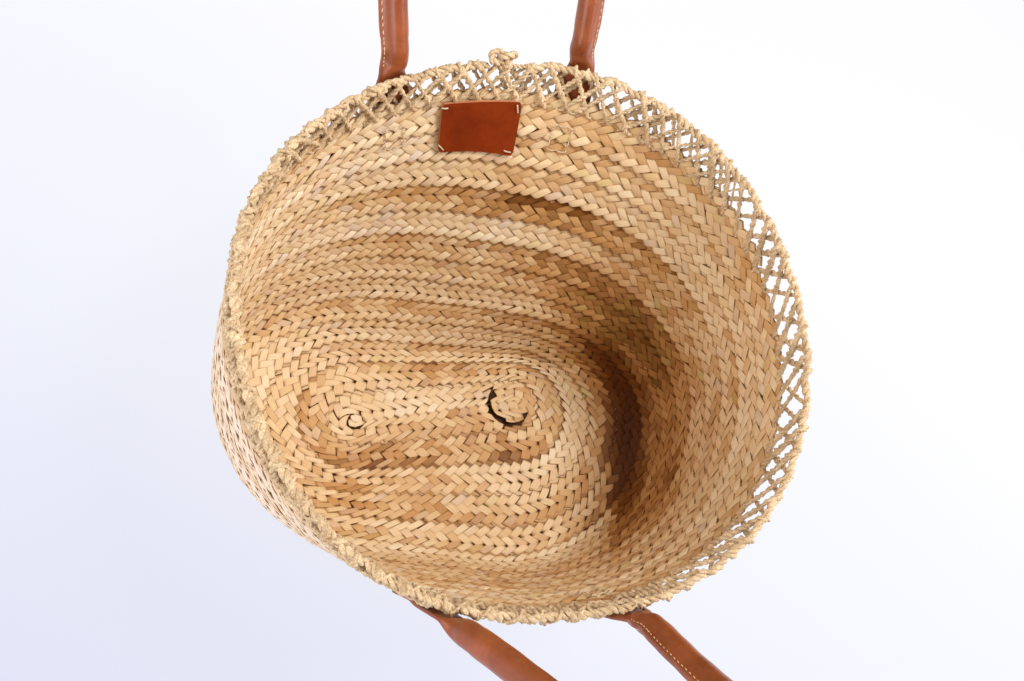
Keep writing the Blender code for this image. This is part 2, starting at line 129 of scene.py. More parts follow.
# The knot on the rope's first end, and the thin cord that bridges the ends
KNOT_START_SHARE = 0.278
KNOT_LAY = 0.012
KNOT_PLY = 0.0017
KNOT_PLY_OFFSET = 0.0014
KNOT_RISE = 0.0015
KNOT_WIDE, KNOT_TALL, KNOT_DEEP = 0.0036, 0.0023, 0.0030
BRIDGE_LAY = 0.008
BRIDGE_PLY = 0.0010
BRIDGE_PLY_OFFSET = 0.0009
BRIDGE_DROP = 0.002
BRIDGE_SAG = 0.0035
BRIDGE_STEPS = 24
BRIDGE_LAP_SHARES = (0.003, 0.004)

# Where the openwork is open or dense, and how far the rim sinks
TIGHT_SINK = 0.0035
NOTCH_SINK = 0.0060
NOTCH_SHARE = 0.2745
NOTCH_HALF_SHARE = 0.010
OPEN_END_SHARE, OPEN_FADE_SHARE = 0.07, 0.13
DENSE_END_SHARE, DENSE_FADE_SHARE = 0.86, 0.08

# The leather handles
BACK_LEG_SHARES = (0.352, 0.237)
FRONT_LEG_SHARES = (0.823, 0.722)
BACK_LEAN = radians(31.0)
FRONT_LEAN = radians(24.0)
BACK_SPLAY = radians(3.0)
FRONT_SPLAY = radians(-14.0)
HANDLE_HEIGHT = 0.190
ARCH_RISE_SHARE = 0.62
ARCH_SHOULDER_SHARE = 0.80
HINGE_OUT = 0.015
HINGE_UP = 0.016
ROLL_START = 0.010
TAB_REACH = 0.085
TAB_WIDTH = 0.034
TAB_ROPE_WIDTH = 0.028
TAB_THICKNESS = 0.003
TAB_RAMP = 0.012
SEAM_MARGIN = 0.010
SEAM_HEIGHT = 0.024

# The roll: its round body, the points of its flange, its uneven waves and its stitches
ROUND_POINTS = 26
ROLL_ASIDE, ROLL_HALF_WIDTH, ROLL_HALF_DEPTH = 0.0018, 0.0083, 0.0086
FLANGE = (
    (-0.0085, 0.0022), (-0.0107, 0.0017), (-0.0112, 0.0), (-0.0107, -0.0017), (-0.0085, -0.0022)
)
ROLL_SECTIONS = 120
ROLL_WAVES = ((0.018, 41.0), (0.012, 97.0))
ROLL_STITCHES = 84
STITCH_START = 0.004
STITCH_STEP = 0.0033
STITCH_IN = 0.0088
STITCH_UP = 0.0020
STITCH_HALF_LENGTH = 0.0017
STITCH_HALF_WIDTH = 0.0005
STITCH_SLANT = 0.0003

# The strap: its steps, its bend at the hinge, and how it rises and narrows on its way to the rope
STRAP_SECTIONS = 110
STRAP_SMOOTHINGS = 6
STITCHED_FROM_SHARE = 0.55
STRAP_LIFT = 0.0007
STRAP_END_NARROWER, STRAP_END_LENGTH = 0.004, 0.003
SEWN_FROM, SEWN_ROWS = 0.01, 5
NET_NARROWER, NET_LIFT = 0.001, 0.001
BELOW_ROPE, BELOW_ROPE_NARROWER = 0.014, 0.004
OVER_ROPE_LIFT, FLAT_NARROWER, ROLLED_NARROWER = 0.0016, 0.002, 0.0065
PROBE_ASIDE, PROBE_UP = 0.004, 0.002
UNDER_HINGE, BEHIND_HINGE = 0.008, 0.0015
ROLL_LAP = 0.003

# Width, thickness, squareness and share of rolling of the strap below, at and above its hinge
LOWER_FOLD = (0.0215, 0.0120, 2.6, 0.75)
HINGE_FOLD = (0.0210, 0.0160, 2.2, 0.95)
UPPER_FOLD = (0.0206, 0.0164, 2.0, 1.0)

# The seams: depth of the thread, length of a stitch, its roundness, how far it dives, its radius
SEAM_STEP = 0.0005
OUTER_SEAM = (WALL / 2 + PLAIT_SEAT + TAB_THICKNESS + 0.0010, 0.0052, 0.35, 0.0015, 0.00062)
INNER_SEAM = (-WALL / 2 - 0.0020, 0.0088, 0.8, 0.0024, 0.0005)

# The leather label
LABEL_SHARE = 0.286
LABEL_DROP = 0.028
LABEL_WIDTH = 0.068
LABEL_HEIGHT = 0.052
LABEL_THICKNESS = 0.003
LABEL_ASIDE_SHARE = 0.0018
LABEL_RAISE = 0.0035
LABEL_GAP = 0.0004
LABEL_THINNER = 0.0008
LABEL_CORNER = 0.004
LABEL_BEVEL = 0.0006
LABEL_WAVE = 0.0005
LABEL_STITCH_BACK_SHARE = 0.2
LABEL_STITCH_RISE, LABEL_STITCH_GAP = 0.0006, 0.0002
LABEL_STITCH_LAY = 0.003
LABEL_STITCH_PLY = 0.00045
LABEL_STITCH_PLY_OFFSET = 0.0003
LABEL_STITCH_SLANTS = {
    (-1, -1): (0.006, 0.0008), (-1, 1): (-0.0015, -0.007),
    (1, -1): (0.005, 0.0065), (1, 1): (0.0055, 0.001),
}

# The raised curls at the two eyes: place on the floor, radius, angles of the arc, gap and height
CURLS = (
    ((0.0800, 0.0365), 0.0242, (radians(138.0), radians(346.0)), 0.0010, 0.0075),
    ((-0.0850, -0.0094), 0.0085, (radians(15.0), radians(335.0)), 0.0006, 0.0040),
)

# The blades of the plait, their rows across the strip, and the dark band between them, which is painted
# shade for the shadow inside the plait
BLADE_PITCH = 0.0119
ROW_SHARES = (0.29, 0.29, 0.29, 0.13)
EDGE_ROW_SHARES = (0.29,)
# Tone added to each row of a strip: painted light and shade, lighter on the lowest row, which catches
# the light, and darkest on the thin row in the shaded valley at the joint
ROW_LIGHT_AND_SHADE = (0.06, 0.0, -0.04, -0.12, 0.0)
EDGE_ROW_AT = 0.245
EDGE_ROW_HALF = 0.175
BLADE_CROWN = 0.0012
BLADE_TOP = 0.0019
BLADE_SEAT = 0.0004
BLADE_THICKNESS = 0.0009
BLADE_REACH_SHARE = 1.15
BLADE_END_SHARE = 0.05
BLADE_STRAY = 0.00035
BLADE_LIFT_STRAY = 0.00022
BLADE_TURN_STRAY = 0.05
THIN_DROP = 0.0011
LAP_LIFT = 0.0016
TABLE_GAP = 0.0003
SHADE_BAND_HALF = 0.0003
SHADE_BAND_START = 0.0005
SHADE_BAND_SHORT = 0.002

# Where the leaves are greener or darker along the front, where painted shade darkens the corner under
# the right wall, and where painted light brightens the left wall: shares of a round, and distances up
# the wall
CORNER_SHADE_FROM, CORNER_SHADE_BELOW, CORNER_SHADE_ABOVE = 0.130, 0.026, 0.050
CORNER_SHADE_MIDDLE_SHARE, CORNER_SHADE_HALF_SHARE = 0.02, 0.135
BROAD_SHADE_FROM, BROAD_SHADE_HALF = 0.05, 0.080
BROAD_SHADE_MIDDLE_SHARE, BROAD_SHADE_HALF_SHARE = 0.045, 0.15
GREEN_AT, GREEN_HALF = 0.195, 0.04
GREEN_MIDDLE_SHARE, GREEN_HALF_SHARE = 0.10, 0.045
FRONT_MIDDLE_SHARE, FRONT_HALF_SHARE = 0.74, 0.20
LIT_SIDE_MIDDLE_SHARE, LIT_SIDE_HALF_SHARE = 0.46, 0.15
FLOOR_TONE_END = 0.12

# The grid of the shape, the plies of every cord, and the distance that welds two points
COLUMNS = 96
GRID_ROWS = 104
PLIES = 2
WELD = 0.000001

PLAIT_TOP = ROUNDS * STRIP_PITCH
ROPE_AT = PLAIT_TOP + OPENWORK_HEIGHT + ROPE_RADIUS
WALL_START = (FLOOR_ROUNDS - 1) * STRIP_PITCH
EYE_LINE_Y = STRIP_PITCH / 2


def climb(v):
    """Share of the way up the wall at the distance v along the surface from the eye line."""
    return min(max((v - WALL_START) / (ROPE_AT - WALL_START), 0.0), 1.0)


def reach(v, start, flat, rim, bulge):
    """Plan distance from the eye line at v: level up to flat, then a straight climb to the rim."""
    slope = (rim - start - flat) / (ROPE_AT - flat)
    bend = CORNER * np.logaddexp(0.0, (v - flat) / CORNER)
    up = climb(v)
    return start + v - (1.0 - slope) * bend + 4.0 * up * (1.0 - up) * bulge


def quarter(side, end, straight, steps):
    """A quarter of a ring: an ellipse arc from the side, then a straight run, in equal steps."""
    angle = np.linspace(0.0, pi / 2, 60)
    x = np.append(straight + (side - straight) * np.cos(angle), 0.0)
    y = np.append(end * np.sin(angle), end)
    along = np.append(0.0, np.cumsum(np.hypot(np.diff(x), np.diff(y))))
    wanted = np.linspace(0.0, along[-1], steps + 1)
    return np.interp(wanted, along, x), np.interp(wanted, along, y)


def plan_ring(v):
    """Plan of the ring at v, counter-clockwise from +X, turned with the eyes near the centre."""
    straight = EYE_HALF_GAP * (1.0 - climb(v))
    right = reach(v, EYE_HALF_GAP, FLAT_RIGHT, RIM_RIGHT, 0.0)
    left = reach(v, EYE_HALF_GAP, FLAT_LEFT, RIM_LEFT, BULGE_LEFT)
    back = max(reach(v, 0.0, FLAT_BACK, RIM_BACK, 0.0), CENTRE_SLIT)
    front = max(reach(v, 0.0, FLAT_FRONT, RIM_FRONT, 0.0), CENTRE_SLIT)
    xs, ys = [], []
    for side, end, x_sign, y_sign in (
        (right, back, 1, 1), (left, back, -1, 1), (left, front, -1, -1), (right, front, 1, -1)
    ):
        x, y = quarter(side, end, straight, COLUMNS // 4)
        x, y = x * x_sign, y * y_sign
        if x_sign != y_sign:
            x, y = x[::-1], y[::-1]
        xs.append(x[:-1])
        ys.append(y[:-1])
    x, y = np.concatenate(xs), np.concatenate(ys)
    angle = np.arctan2(y, x)
    skew = sum(share * np.sin(waves * angle) for waves, share in SKEW_SHARES.items())
    swell = 1.0 + climb(v) ** 2 * skew
    turn = EYE_TURN * max(0.0, 1.0 - v / (TURN_ROUNDS * STRIP_PITCH))
    x, y = x * swell, y * swell
    return np.stack([x * cos(turn) - y * sin(turn), x * sin(turn) + y * cos(turn)], axis=1)


def even_out(values, most_waves):
    """Values that change round the basket in no more than the given number of waves."""
    waves = np.fft.rfft(values, axis=1)
    waves[:, most_waves + 1 :] = 0.0
    return np.fft.irfft(waves, n=COLUMNS, axis=1)


def basket_grid():
    """Middle surface of the plait: what the plan rings don't use of each step is its rise."""
    v = np.linspace(0.0, ROPE_AT, GRID_ROWS + 1)
    plan = np.array([plan_ring(distance) for distance in v])
    step = np.diff(plan, axis=0)
    side = np.roll(plan, -1, axis=1) - np.roll(plan, 1, axis=1)
    side = side[1:] + side[:-1]
    side /= np.linalg.norm(side, axis=2, keepdims=True)
    level = np.abs(step[..., 0] * side[..., 1] - step[..., 1] * side[..., 0]) / (v[1] - v[0])
    slope = np.arccos(np.clip(level, 0.0, 1.0))
    slope = np.maximum(slope - LEVEL_SLOPE, 0.0) / (pi / 2 - LEVEL_SLOPE) * pi / 2
    ease = np.clip((v[1:] - WALL_START) / STRIP_PITCH, 0.0, 1.0)
    rise = (v[1] - v[0]) * np.sin(slope * ease[:, None])
    height = np.maximum(even_out(np.cumsum(rise, axis=0), RIM_WAVES), 0.0)
    height = np.concatenate([np.zeros((1, COLUMNS)), height]) + WALL / 2
    return np.concatenate([plan + [0.0, EYE_LINE_Y], height[..., None]], axis=2)


def outward(grid):
    """Unit normals of the middle surface, pointing down under the floor and out of the wall."""
    around = np.roll(grid, -1, axis=1) - np.roll(grid, 1, axis=1)
    normal = np.cross(around, np.gradient(grid, axis=0))
    normal[0] = normal[1]
    normal = even_out(normal / np.linalg.norm(normal, axis=2, keepdims=True), NORMAL_WAVES)
    return normal / np.linalg.norm(normal, axis=2, keepdims=True)


GRID = basket_grid()
NORMALS = outward(GRID)
LENGTHS = np.linalg.norm(np.roll(GRID, -1, axis=1) - GRID, axis=2).sum(axis=1)


def read_grid(grid, u, v):
    """Values at the shares u of a round and the distances v, between the grid's corners."""
    column = (np.asarray(u, float) % 1.0) * COLUMNS
    row = np.clip(np.asarray(v, float) / ROPE_AT, 0.0, 1.0) * GRID_ROWS
    left, low = np.floor(column).astype(int) % COLUMNS, np.minimum(row.astype(int), GRID_ROWS - 1)
    right, high = (left + 1) % COLUMNS, low + 1
    across, up = (column - np.floor(column))[..., None], (row - low)[..., None]
    below = grid[low, left] * (1.0 - across) + grid[low, right] * across
    above = grid[high, left] * (1.0 - across) + grid[high, right] * across
    return below * (1.0 - up) + above * up


def on_shell(u, v, depth):
    """Points at the depths outside the middle surface, past the rope straight on up the wall."""
    u, v, depth = np.broadcast_arrays(np.asarray(u, float), v, depth)
    extra = np.maximum(v - ROPE_AT, 0.0)[..., None]
    small = STRIP_PITCH / 2
    upward = (read_grid(GRID, u, ROPE_AT) - read_grid(GRID, u, ROPE_AT - small)) / small
    return read_grid(GRID, u, v) + read_grid(NORMALS, u, v) * depth[..., None] + upward * extra


def on_patch(share, v, across, up, depth):
    """Points on the shell at square steps, across and up, from a place on it."""
    small_u, small_v = 1.0 / 36, STRIP_PITCH / 2
    around = (read_grid(GRID, share + small_u, v) - read_grid(GRID, share - small_u, v)) / (2 * small_u)
    climbing = (read_grid(GRID, share, v) - read_grid(GRID, share, v - small_v)) / small_v
    slide = -around.dot(climbing) / around.dot(around)
    across, up = np.asarray(across, float), np.asarray(up, float)
    return on_shell(share + across / np.linalg.norm(around) + slide * up, v + up, depth)


def ring_length(v):
    """Length of the ring at v."""
    return np.interp(v, np.linspace(0.0, ROPE_AT, GRID_ROWS + 1), LENGTHS)


# Materials


def shader_material(name):
    """New node material, its tree and its shader."""
    material = bpy.data.materials.new(name)
    material.use_nodes = True
    tree = material.node_tree
    return material, tree, tree.nodes["Principled BSDF"]


def node(tree, kind, **values):
    """New node with its settings and the constant values of its named inputs."""
    new = tree.nodes.new(kind)
    for key, value in values.items():
        if hasattr(new, key):
            setattr(new, key, value)
        else:
            new.inputs[key.replace("_", " ")].default_value = value
    return new


def ramp(tree, stops):
    """Colour ramp with the given stops."""
    new = tree.nodes.new("ShaderNodeValToRGB")
    points = new.color_ramp.elements
    points[0].position, points[0].color = stops[0][0], (*stops[0][1], 1.0)
    points[1].position, points[1].color = stops[-1][0], (*stops[-1][1], 1.0)
    for place, colour in stops[1:-1]:
        points.new(place).color = (*colour, 1.0)
    return new


def shade_by(tree, value, stops):
    """Colour output of a ramp with the given stops over a value."""
    shades = ramp(tree, stops)
    tree.links.new(value, shades.inputs[0])
    return shades.outputs[0]


def multiply(tree, share, first, second):
    """Output of the first colour multiplied by the second, by that share."""
    new = node(tree, "ShaderNodeMix", data_type="RGBA", blend_type="MULTIPLY")
    new.inputs[0].default_value = share
    tree.links.new(first, new.inputs[6])
    tree.links.new(second, new.inputs[7])
    return new.outputs[2]


def mix_by(tree, mask, low, high):
    """Output that runs from the low to the high colour with the mask."""
    new = node(tree, "ShaderNodeMix", data_type="RGBA")
    for socket, source in zip((new.inputs[0], new.inputs[6], new.inputs[7]), (mask, low, high)):
        tree.links.new(source, socket)
    return new.outputs[2]


def from_middle(tree, value):
    """Output that folds a value from 0 to 1 into its distance from the nearer end."""
    fold = node(tree, "ShaderNodeMath", operation="PINGPONG")
    fold.inputs[1].default_value = 0.5
    tree.links.new(value, fold.inputs[0])
    return fold.outputs[0]


def roughen(tree, shader, height, strength, distance):
    """Puts a bump of the height on the shader."""
    bump = node(tree, "ShaderNodeBump", Strength=strength, Distance=distance)
    tree.links.new(height, bump.inputs["Height"])
    tree.links.new(bump.outputs[0], shader.inputs["Normal"])


def effect_group(name, inputs, outputs):
    """New shader node group with the named sockets, and its input and output nodes."""
    group = bpy.data.node_groups.new(name, "ShaderNodeTree")
    for way, sockets in (("INPUT", inputs), ("OUTPUT", outputs)):
        for socket, kind in sockets.items():
            group.interface.new_socket(socket, in_out=way, socket_type=f"NodeSocket{kind}")
    return group, group.nodes.new("NodeGroupInput"), group.nodes.new("NodeGroupOutput")


BLACK, GREY, WHITE = (0.0, 0.0, 0.0), (0.5, 0.5, 0.5), (1.0, 1.0, 1.0)


def fibre_group():
    """Plant fibre: mottled between the light and the shade colour, with fine dark streaks."""
    group, given, result = effect_group(
        "plant_fibre", {"Light": "Color", "Shade": "Color"}, {"Colour": "Color", "Height": "Float"}
    )
    link = group.links.new
    place = node(group, "ShaderNodeTexCoord")
    patches = node(group, "ShaderNodeTexNoise", Scale=95.0, Detail=3.0, Roughness=0.6)
    fibre = node(group, "ShaderNodeTexNoise", Scale=900.0, Detail=2.0, Roughness=0.7)
    for texture in (patches, fibre):
        link(place.outputs["Object"], texture.inputs["Vector"])
    mask = shade_by(group, patches.outputs[0], ((0.30, BLACK), (0.52, GREY), (0.68, WHITE)))
    mottled = mix_by(group, mask, given.outputs["Shade"], given.outputs["Light"])
    streak = shade_by(group, fibre.outputs[0], ((0.30, (0.42, 0.34, 0.26)), (0.62, WHITE)))
    link(multiply(group, 0.7, mottled, streak), result.inputs["Colour"])
    link(fibre.outputs[0], result.inputs["Height"])
    return group


def leather_group():
    """Leather: clouds between the light and the deep colour, pores, creases and uneven gloss."""
    group, given, result = effect_group(
        "leather_grain",
        {"Light": "Color", "Deep": "Color", "Gloss": "Float"},
        {"Colour": "Color", "Roughness": "Float", "Height": "Float"},
    )
    link = group.links.new
    place = node(group, "ShaderNodeTexCoord")
    clouds = node(group, "ShaderNodeTexNoise", Scale=38.0, Detail=5.0, Roughness=0.6)
    pores = node(group, "ShaderNodeTexVoronoi", Scale=1500.0)
    crease = node(group, "ShaderNodeTexNoise", Scale=260.0, Detail=4.0, Roughness=0.7)
    for texture in (clouds, pores, crease):
        link(place.outputs["Object"], texture.inputs["Vector"])
    mask = shade_by(group, clouds.outputs[0], ((0.30, BLACK), (0.72, WHITE)))
    cloudy = mix_by(group, mask, given.outputs["Deep"], given.outputs["Light"])
    fine = shade_by(group, crease.outputs[0], ((0.30, (0.80, 0.76, 0.72)), (0.60, WHITE)))
    link(multiply(group, 0.6, cloudy, fine), result.inputs["Colour"])
    dullest = node(group, "ShaderNodeMath", operation="ADD")
    dullest.inputs[1].default_value = 0.22
    link(given.outputs["Gloss"], dullest.inputs[0])
    sheen = node(group, "ShaderNodeMapRange")
    link(given.outputs["Gloss"], sheen.inputs["To Min"])
    link(dullest.outputs[0], sheen.inputs["To Max"])
    link(clouds.outputs[0], sheen.inputs["Value"])
    link(sheen.outputs[0], result.inputs["Roughness"])
    grain = node(group, "ShaderNodeMath", operation="ADD")
    link(pores.outputs[0], grain.inputs[0])
    link(crease.outputs[0], grain.inputs[1])
    link(grain.outputs[0], result.inputs["Height"])
    return group


def straw_material(name):
    """Dry palm leaf: a tone for each blade (with painted light and shade in it), fibres along it,
    painted shade at the edges and ends of each blade where it dips under its neighbours, and a fine
    bump.
    """
    material, tree, shader = shader_material(name)
    link = tree.links.new
    tone = node(tree, "ShaderNodeAttribute", attribute_name="tone")
    split = node(tree, "ShaderNodeSeparateColor")
    link(tone.outputs["Color"], split.inputs[0])
    own, hue, base = split.outputs
    uv = node(tree, "ShaderNodeUVMap", uv_map="blade")
    stretch = node(tree, "ShaderNodeMapping", Scale=(1.2, 13.0, 1.0))
    link(uv.outputs[0], stretch.inputs["Vector"])
    shift = node(tree, "ShaderNodeVectorMath", operation="MULTIPLY_ADD")
    shift.inputs[1].default_value = (37.0, 23.0, 11.0)
    link(tone.outputs["Color"], shift.inputs[0])
    link(stretch.outputs[0], shift.inputs[2])
    fibre = node(tree, "ShaderNodeTexNoise", Scale=1.0, Detail=4.0, Roughness=0.65)
    link(shift.outputs[0], fibre.inputs["Vector"])
    mixed = node(tree, "ShaderNodeMath", operation="MULTIPLY_ADD")
    mixed.inputs[1].default_value = 0.26
    link(own, mixed.inputs[0])
    link(base, mixed.inputs[2])
    # The darkest stops serve the painted shade in the corner under the right wall
    colours = shade_by(tree, mixed.outputs[0], (
        (0.0, (0.090, 0.023, 0.002)), (0.12, (0.20, 0.070, 0.010)), (0.30, (0.56, 0.30, 0.110)),
        (0.50, (0.77, 0.55, 0.31)), (0.72, (0.84, 0.66, 0.43)), (1.0, (0.93, 0.81, 0.62)),
    ))
    # Casts by the hue value: the green end and the pinkish picks are leaf colour; the blue-grey top end,
    # used mostly by the outer blades, is painted cool light
    casts = shade_by(tree, hue, (
        (0.0, (0.64, 0.72, 0.48)), (0.05, (0.88, 0.95, 0.76)), (0.10, WHITE),
        (0.78, WHITE), (0.88, (0.97, 0.92, 0.92)), (1.0, (0.86, 0.87, 1.05)),
    ))
    streak = shade_by(tree, fibre.outputs[0], (
        (0.25, (0.78, 0.71, 0.62)), (0.55, WHITE), (0.8, (1.05, 1.03, 1.0)),
    ))
    streaked = multiply(tree, 0.75, multiply(tree, 0.8, colours, casts), streak)
    sides = node(tree, "ShaderNodeSeparateXYZ")
    link(uv.outputs[0], sides.inputs[0])
    # Painted shade: each blade darkens towards its edges and ends, where it dips under its neighbours
    edge = shade_by(tree, from_middle(tree, sides.outputs[1]), (
        (0.0, (0.50, 0.35, 0.22)), (0.04, (0.90, 0.85, 0.78)), (0.10, WHITE),
    ))
    end = shade_by(tree, from_middle(tree, sides.outputs[0]), (
        (0.02, (0.38, 0.25, 0.14)), (0.10, (0.90, 0.85, 0.78)), (0.20, WHITE),
    ))
    edge_shade = multiply(tree, 1.0, edge, end)
    link(multiply(tree, 0.85, streaked, edge_shade), shader.inputs["Base Color"])
    roughen(tree, shader, fibre.outputs[0], 0.35, 0.0003)
    shader.inputs["Roughness"].default_value = 0.55
    shader.inputs["Specular IOR Level"].default_value = 0.2
    return material


def cord_material(name, fibre, light, shade):
    """Twisted plant fibre or thread: matt, between the two colours, with a rough surface."""
    material, tree, shader = shader_material(name)
    look = node(tree, "ShaderNodeGroup", node_tree=fibre, Light=(*light, 1.0), Shade=(*shade, 1.0))
    tree.links.new(look.outputs["Colour"], shader.inputs["Base Color"])
    roughen(tree, shader, look.outputs["Height"], 0.6, 0.0004)
    shader.inputs["Roughness"].default_value = 0.8
    shader.inputs["Specular IOR Level"].default_value = 0.2
    return material


def leather_material(name, grain, light, deep, gloss, shine=0.5):
    """Leather in two colours, with the roughness of its glossiest parts and its shine."""
    material, tree, shader = shader_material(name)
    look = node(
        tree, "ShaderNodeGroup",
        node_tree=grain, Light=(*light, 1.0), Deep=(*deep, 1.0), Gloss=gloss,
    )
    tree.links.new(look.outputs["Colour"], shader.inputs["Base Color"])
    tree.links.new(look.outputs["Roughness"], shader.inputs["Roughness"])
    roughen(tree, shader, look.outputs["Height"], 0.22, 0.0003)
    shader.inputs["Specular IOR Level"].default_value = shine
    return material


# Meshes


def close_mesh(mesh):
    """Welds the bmesh, fills its open ends and turns its faces outwards."""
    bmesh.ops.remove_doubles(mesh, verts=mesh.verts, dist=WELD)
    bmesh.ops.holes_fill(mesh, edges=mesh.edges, sides=0)
    bmesh.ops.recalc_face_normals(mesh, faces=mesh.faces)


def finish_mesh(name, mesh, materials, body, smooth_angle=50.0):
    """Closes the bmesh, and makes its shaded object, which rides on the body if one is given."""
    close_mesh(mesh)
    data = bpy.data.meshes.new(name)
    mesh.to_mesh(data)
    mesh.free()
    return place_mesh(name, data, materials, body, smooth_angle)


def place_mesh(name, data, materials, body, smooth_angle=50.0):
    """Object of the mesh with its materials, which rides on the body if one is given."""
    data.name = name
    data.shade_smooth()
    data.set_sharp_from_angle(angle=radians(smooth_angle))
    for material in materials:
        data.materials.append(material)
    piece = bpy.data.objects.new(name, data)
    bpy.context.scene.collection.objects.link(piece)
    if body:
        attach(piece, body)
    return piece


def add_skin(mesh, rings, closed=False):
    """Adds a skin over rings, an array of sections x points x 3, to the bmesh."""
    rings = np.asarray(rings)
    if closed:
        rings = np.concatenate([rings, rings[:1]])
    rings = np.concatenate([rings, rings[:, :1]], axis=1)
    rows, sides = rings.shape[:2]
    grid = bmesh.ops.create_grid(mesh, x_segments=sides - 1, y_segments=rows - 1)
    for corner, place in zip(grid["verts"], rings.reshape(-1, 3)):
        corner.co = place


def directions(path, closed=False):
    """Tangents and two steady side directions along a path."""
    path = np.asarray(path)
    if closed:
        tangent = np.roll(path, -1, axis=0) - np.roll(path, 1, axis=0)
    else:
        tangent = np.gradient(path, axis=0)
    tangent /= np.linalg.norm(tangent, axis=1, keepdims=True)
    side = np.cross(tangent[0], (0.0, 0.0, 1.0) if abs(tangent[0][2]) < 0.9 else (1.0, 0.0, 0.0))
    sides = []
    for direction in tangent:
        side = side - direction * side.dot(direction)
        side = side / np.linalg.norm(side)
        sides.append(side)
    sides = np.array(sides)
    if closed:
        last, first = sides[-1], sides[0]
        other = np.cross(tangent[0], first)
        twist = np.arctan2(last.dot(other), last.dot(first))
        back = -twist * np.linspace(0.0, 1.0, len(path))[:, None]
        sides = sides * np.cos(back) + np.cross(tangent, sides) * np.sin(back)
    return tangent, sides, np.cross(tangent, sides)


def tube(path, radius, sides=8, closed=False):
    """Round sections along the path; the radius may change along it."""
    _, side, other = directions(path, closed)
    radius = np.broadcast_to(radius, len(path))[:, None, None]
    angle = np.arange(sides) * 2 * pi / sides
    ring = side[:, None] * np.cos(angle)[None, :, None] + other[:, None] * np.sin(angle)[None, :, None]
    return np.asarray(path)[:, None] + ring * radius


def ply_paths(path, offset, lay, closed=False, start=0.0):
    """Paths of the plies of a twisted cord along the path."""
    path = np.asarray(path)
    _, side, other = directions(path, closed)
    ends = np.concatenate([path, path[:1]]) if closed else path
    steps = np.linalg.norm(np.diff(ends, axis=0), axis=1)
    along = np.append(0.0, np.cumsum(steps))
    length = along[-1]
    turns = round(length / lay) / length if closed else 1.0 / lay
    angle = 2 * pi * along[: len(path)] * turns + start
    offset = np.broadcast_to(offset, len(path))[:, None]
    turned = [angle + 2 * pi * ply / PLIES for ply in range(PLIES)]
    return [
        path + (side * np.cos(way)[:, None] + other * np.sin(way)[:, None]) * offset
        for way in turned
    ]


def add_cord(mesh, path, offset, lay, radius, sides, closed=False, start=0.0):
    """Adds the plies of a twisted cord along the path to the bmesh."""
    for ply in ply_paths(path, offset, lay, closed, start):
        add_skin(mesh, tube(ply, radius, sides, closed), closed)


def copies(template, count):
    """Mesh with that many copies of the template mesh, one after another in the vertex list."""
    row = bpy.data.objects.new("row", template)
    bpy.context.scene.collection.objects.link(row)
    repeat = row.modifiers.new("repeat", "ARRAY")
    repeat.count = count
    repeat.use_relative_offset = False
    graph = bpy.context.evaluated_depsgraph_get()
    data = bpy.data.meshes.new_from_object(row.evaluated_get(graph))
    bpy.data.objects.remove(row)
    return data


def set_places(data, places):
    """Moves the mesh's vertices to the places."""
    data.vertices.foreach_set("co", np.asarray(places, dtype=np.float32).ravel())
    data.update()


def set_order(mesh):
    """Sorts a small bmesh by place, because an extrusion leaves it in another order each run."""
    weights = Vector((1.0, 10.0, 100.0))
    mesh.verts.sort(key=lambda corner: corner.co.dot(weights))
    mesh.edges.sort(key=lambda edge: (edge.verts[0].co + edge.verts[1].co).dot(weights))
    mesh.faces.sort(key=lambda face: face.calc_center_median().dot(weights))


def blade_template():
    """Flat closed blade: x along it and y across it from -1 to 1, z 1 on top and -1 below."""
    mesh = bmesh.new()
    mesh.loops.layers.uv.new("blade")
    bmesh.ops.create_grid(mesh, x_segments=4, y_segments=2, size=1.0, calc_uvs=True)
    for corner in mesh.verts:
        corner.co.z = 1.0
    raised = bmesh.ops.extrude_face_region(mesh, geom=mesh.faces)
    for item in raised["geom"]:
        if isinstance(item, bmesh.types.BMVert):
            item.co.z = -1.0
    bmesh.ops.recalc_face_normals(mesh, faces=mesh.faces)
    set_order(mesh)
    data = bpy.data.meshes.new("blade_template")
    mesh.to_mesh(data)
    mesh.free()
    return data


def stitch_template():
    """Small rounded stitch: x along it, y across it, z out of the surface, each from -1 to 1."""
    mesh = bmesh.new()
    bmesh.ops.create_icosphere(mesh, subdivisions=2, radius=1.0)
    data = bpy.data.meshes.new("stitch_template")
    mesh.to_mesh(data)
    mesh.free()
    return data


def smooth_noise(u, seed, waves=(1, 2, 3, 5, 8)):
    """Slow variation round the basket, about -1 to 1."""
    random = np.random.default_rng(seed)
    total = sum(
        np.sin(2 * pi * (wave * u + random.random())) * random.uniform(0.5, 1.0) / wave**0.4
        for wave in waves
    )
    return total / 2.2


def open_curl(places, middles, curl):
    """Parts the floor's blades along an arc round an eye, and lifts the inner ones to it."""
    (x, y), radius, (first, last), widest, height = curl
    across, along = places[..., 0] - x, places[..., 1] - y
    distance, angle = np.hypot(across, along), np.arctan2(along, across) % (2 * pi)
    swell = np.sqrt(np.sin(pi * np.clip((angle - first) / (last - first), 0.0, 1.0)))
    gap = widest * swell
    inner = (np.hypot(middles[:, 0] - x, middles[:, 1] - y) < radius)[:, None]
    held = np.where(inner, np.minimum(distance, radius - gap), np.maximum(distance, radius + gap))
    held = np.where(gap > WELD, held, distance)
    grow = held / np.maximum(distance, WELD)
    lift = np.where(inner, height * swell * np.minimum(held / radius, 1.0) ** 2, 0.0)
    return np.stack([x + across * grow, y + along * grow, places[..., 2] + lift], axis=-1)


def from_right(u):
    """Share of a round from the right end of the basket, from -0.5 to 0.5."""
    return (u + 0.5) % 1.0 - 0.5


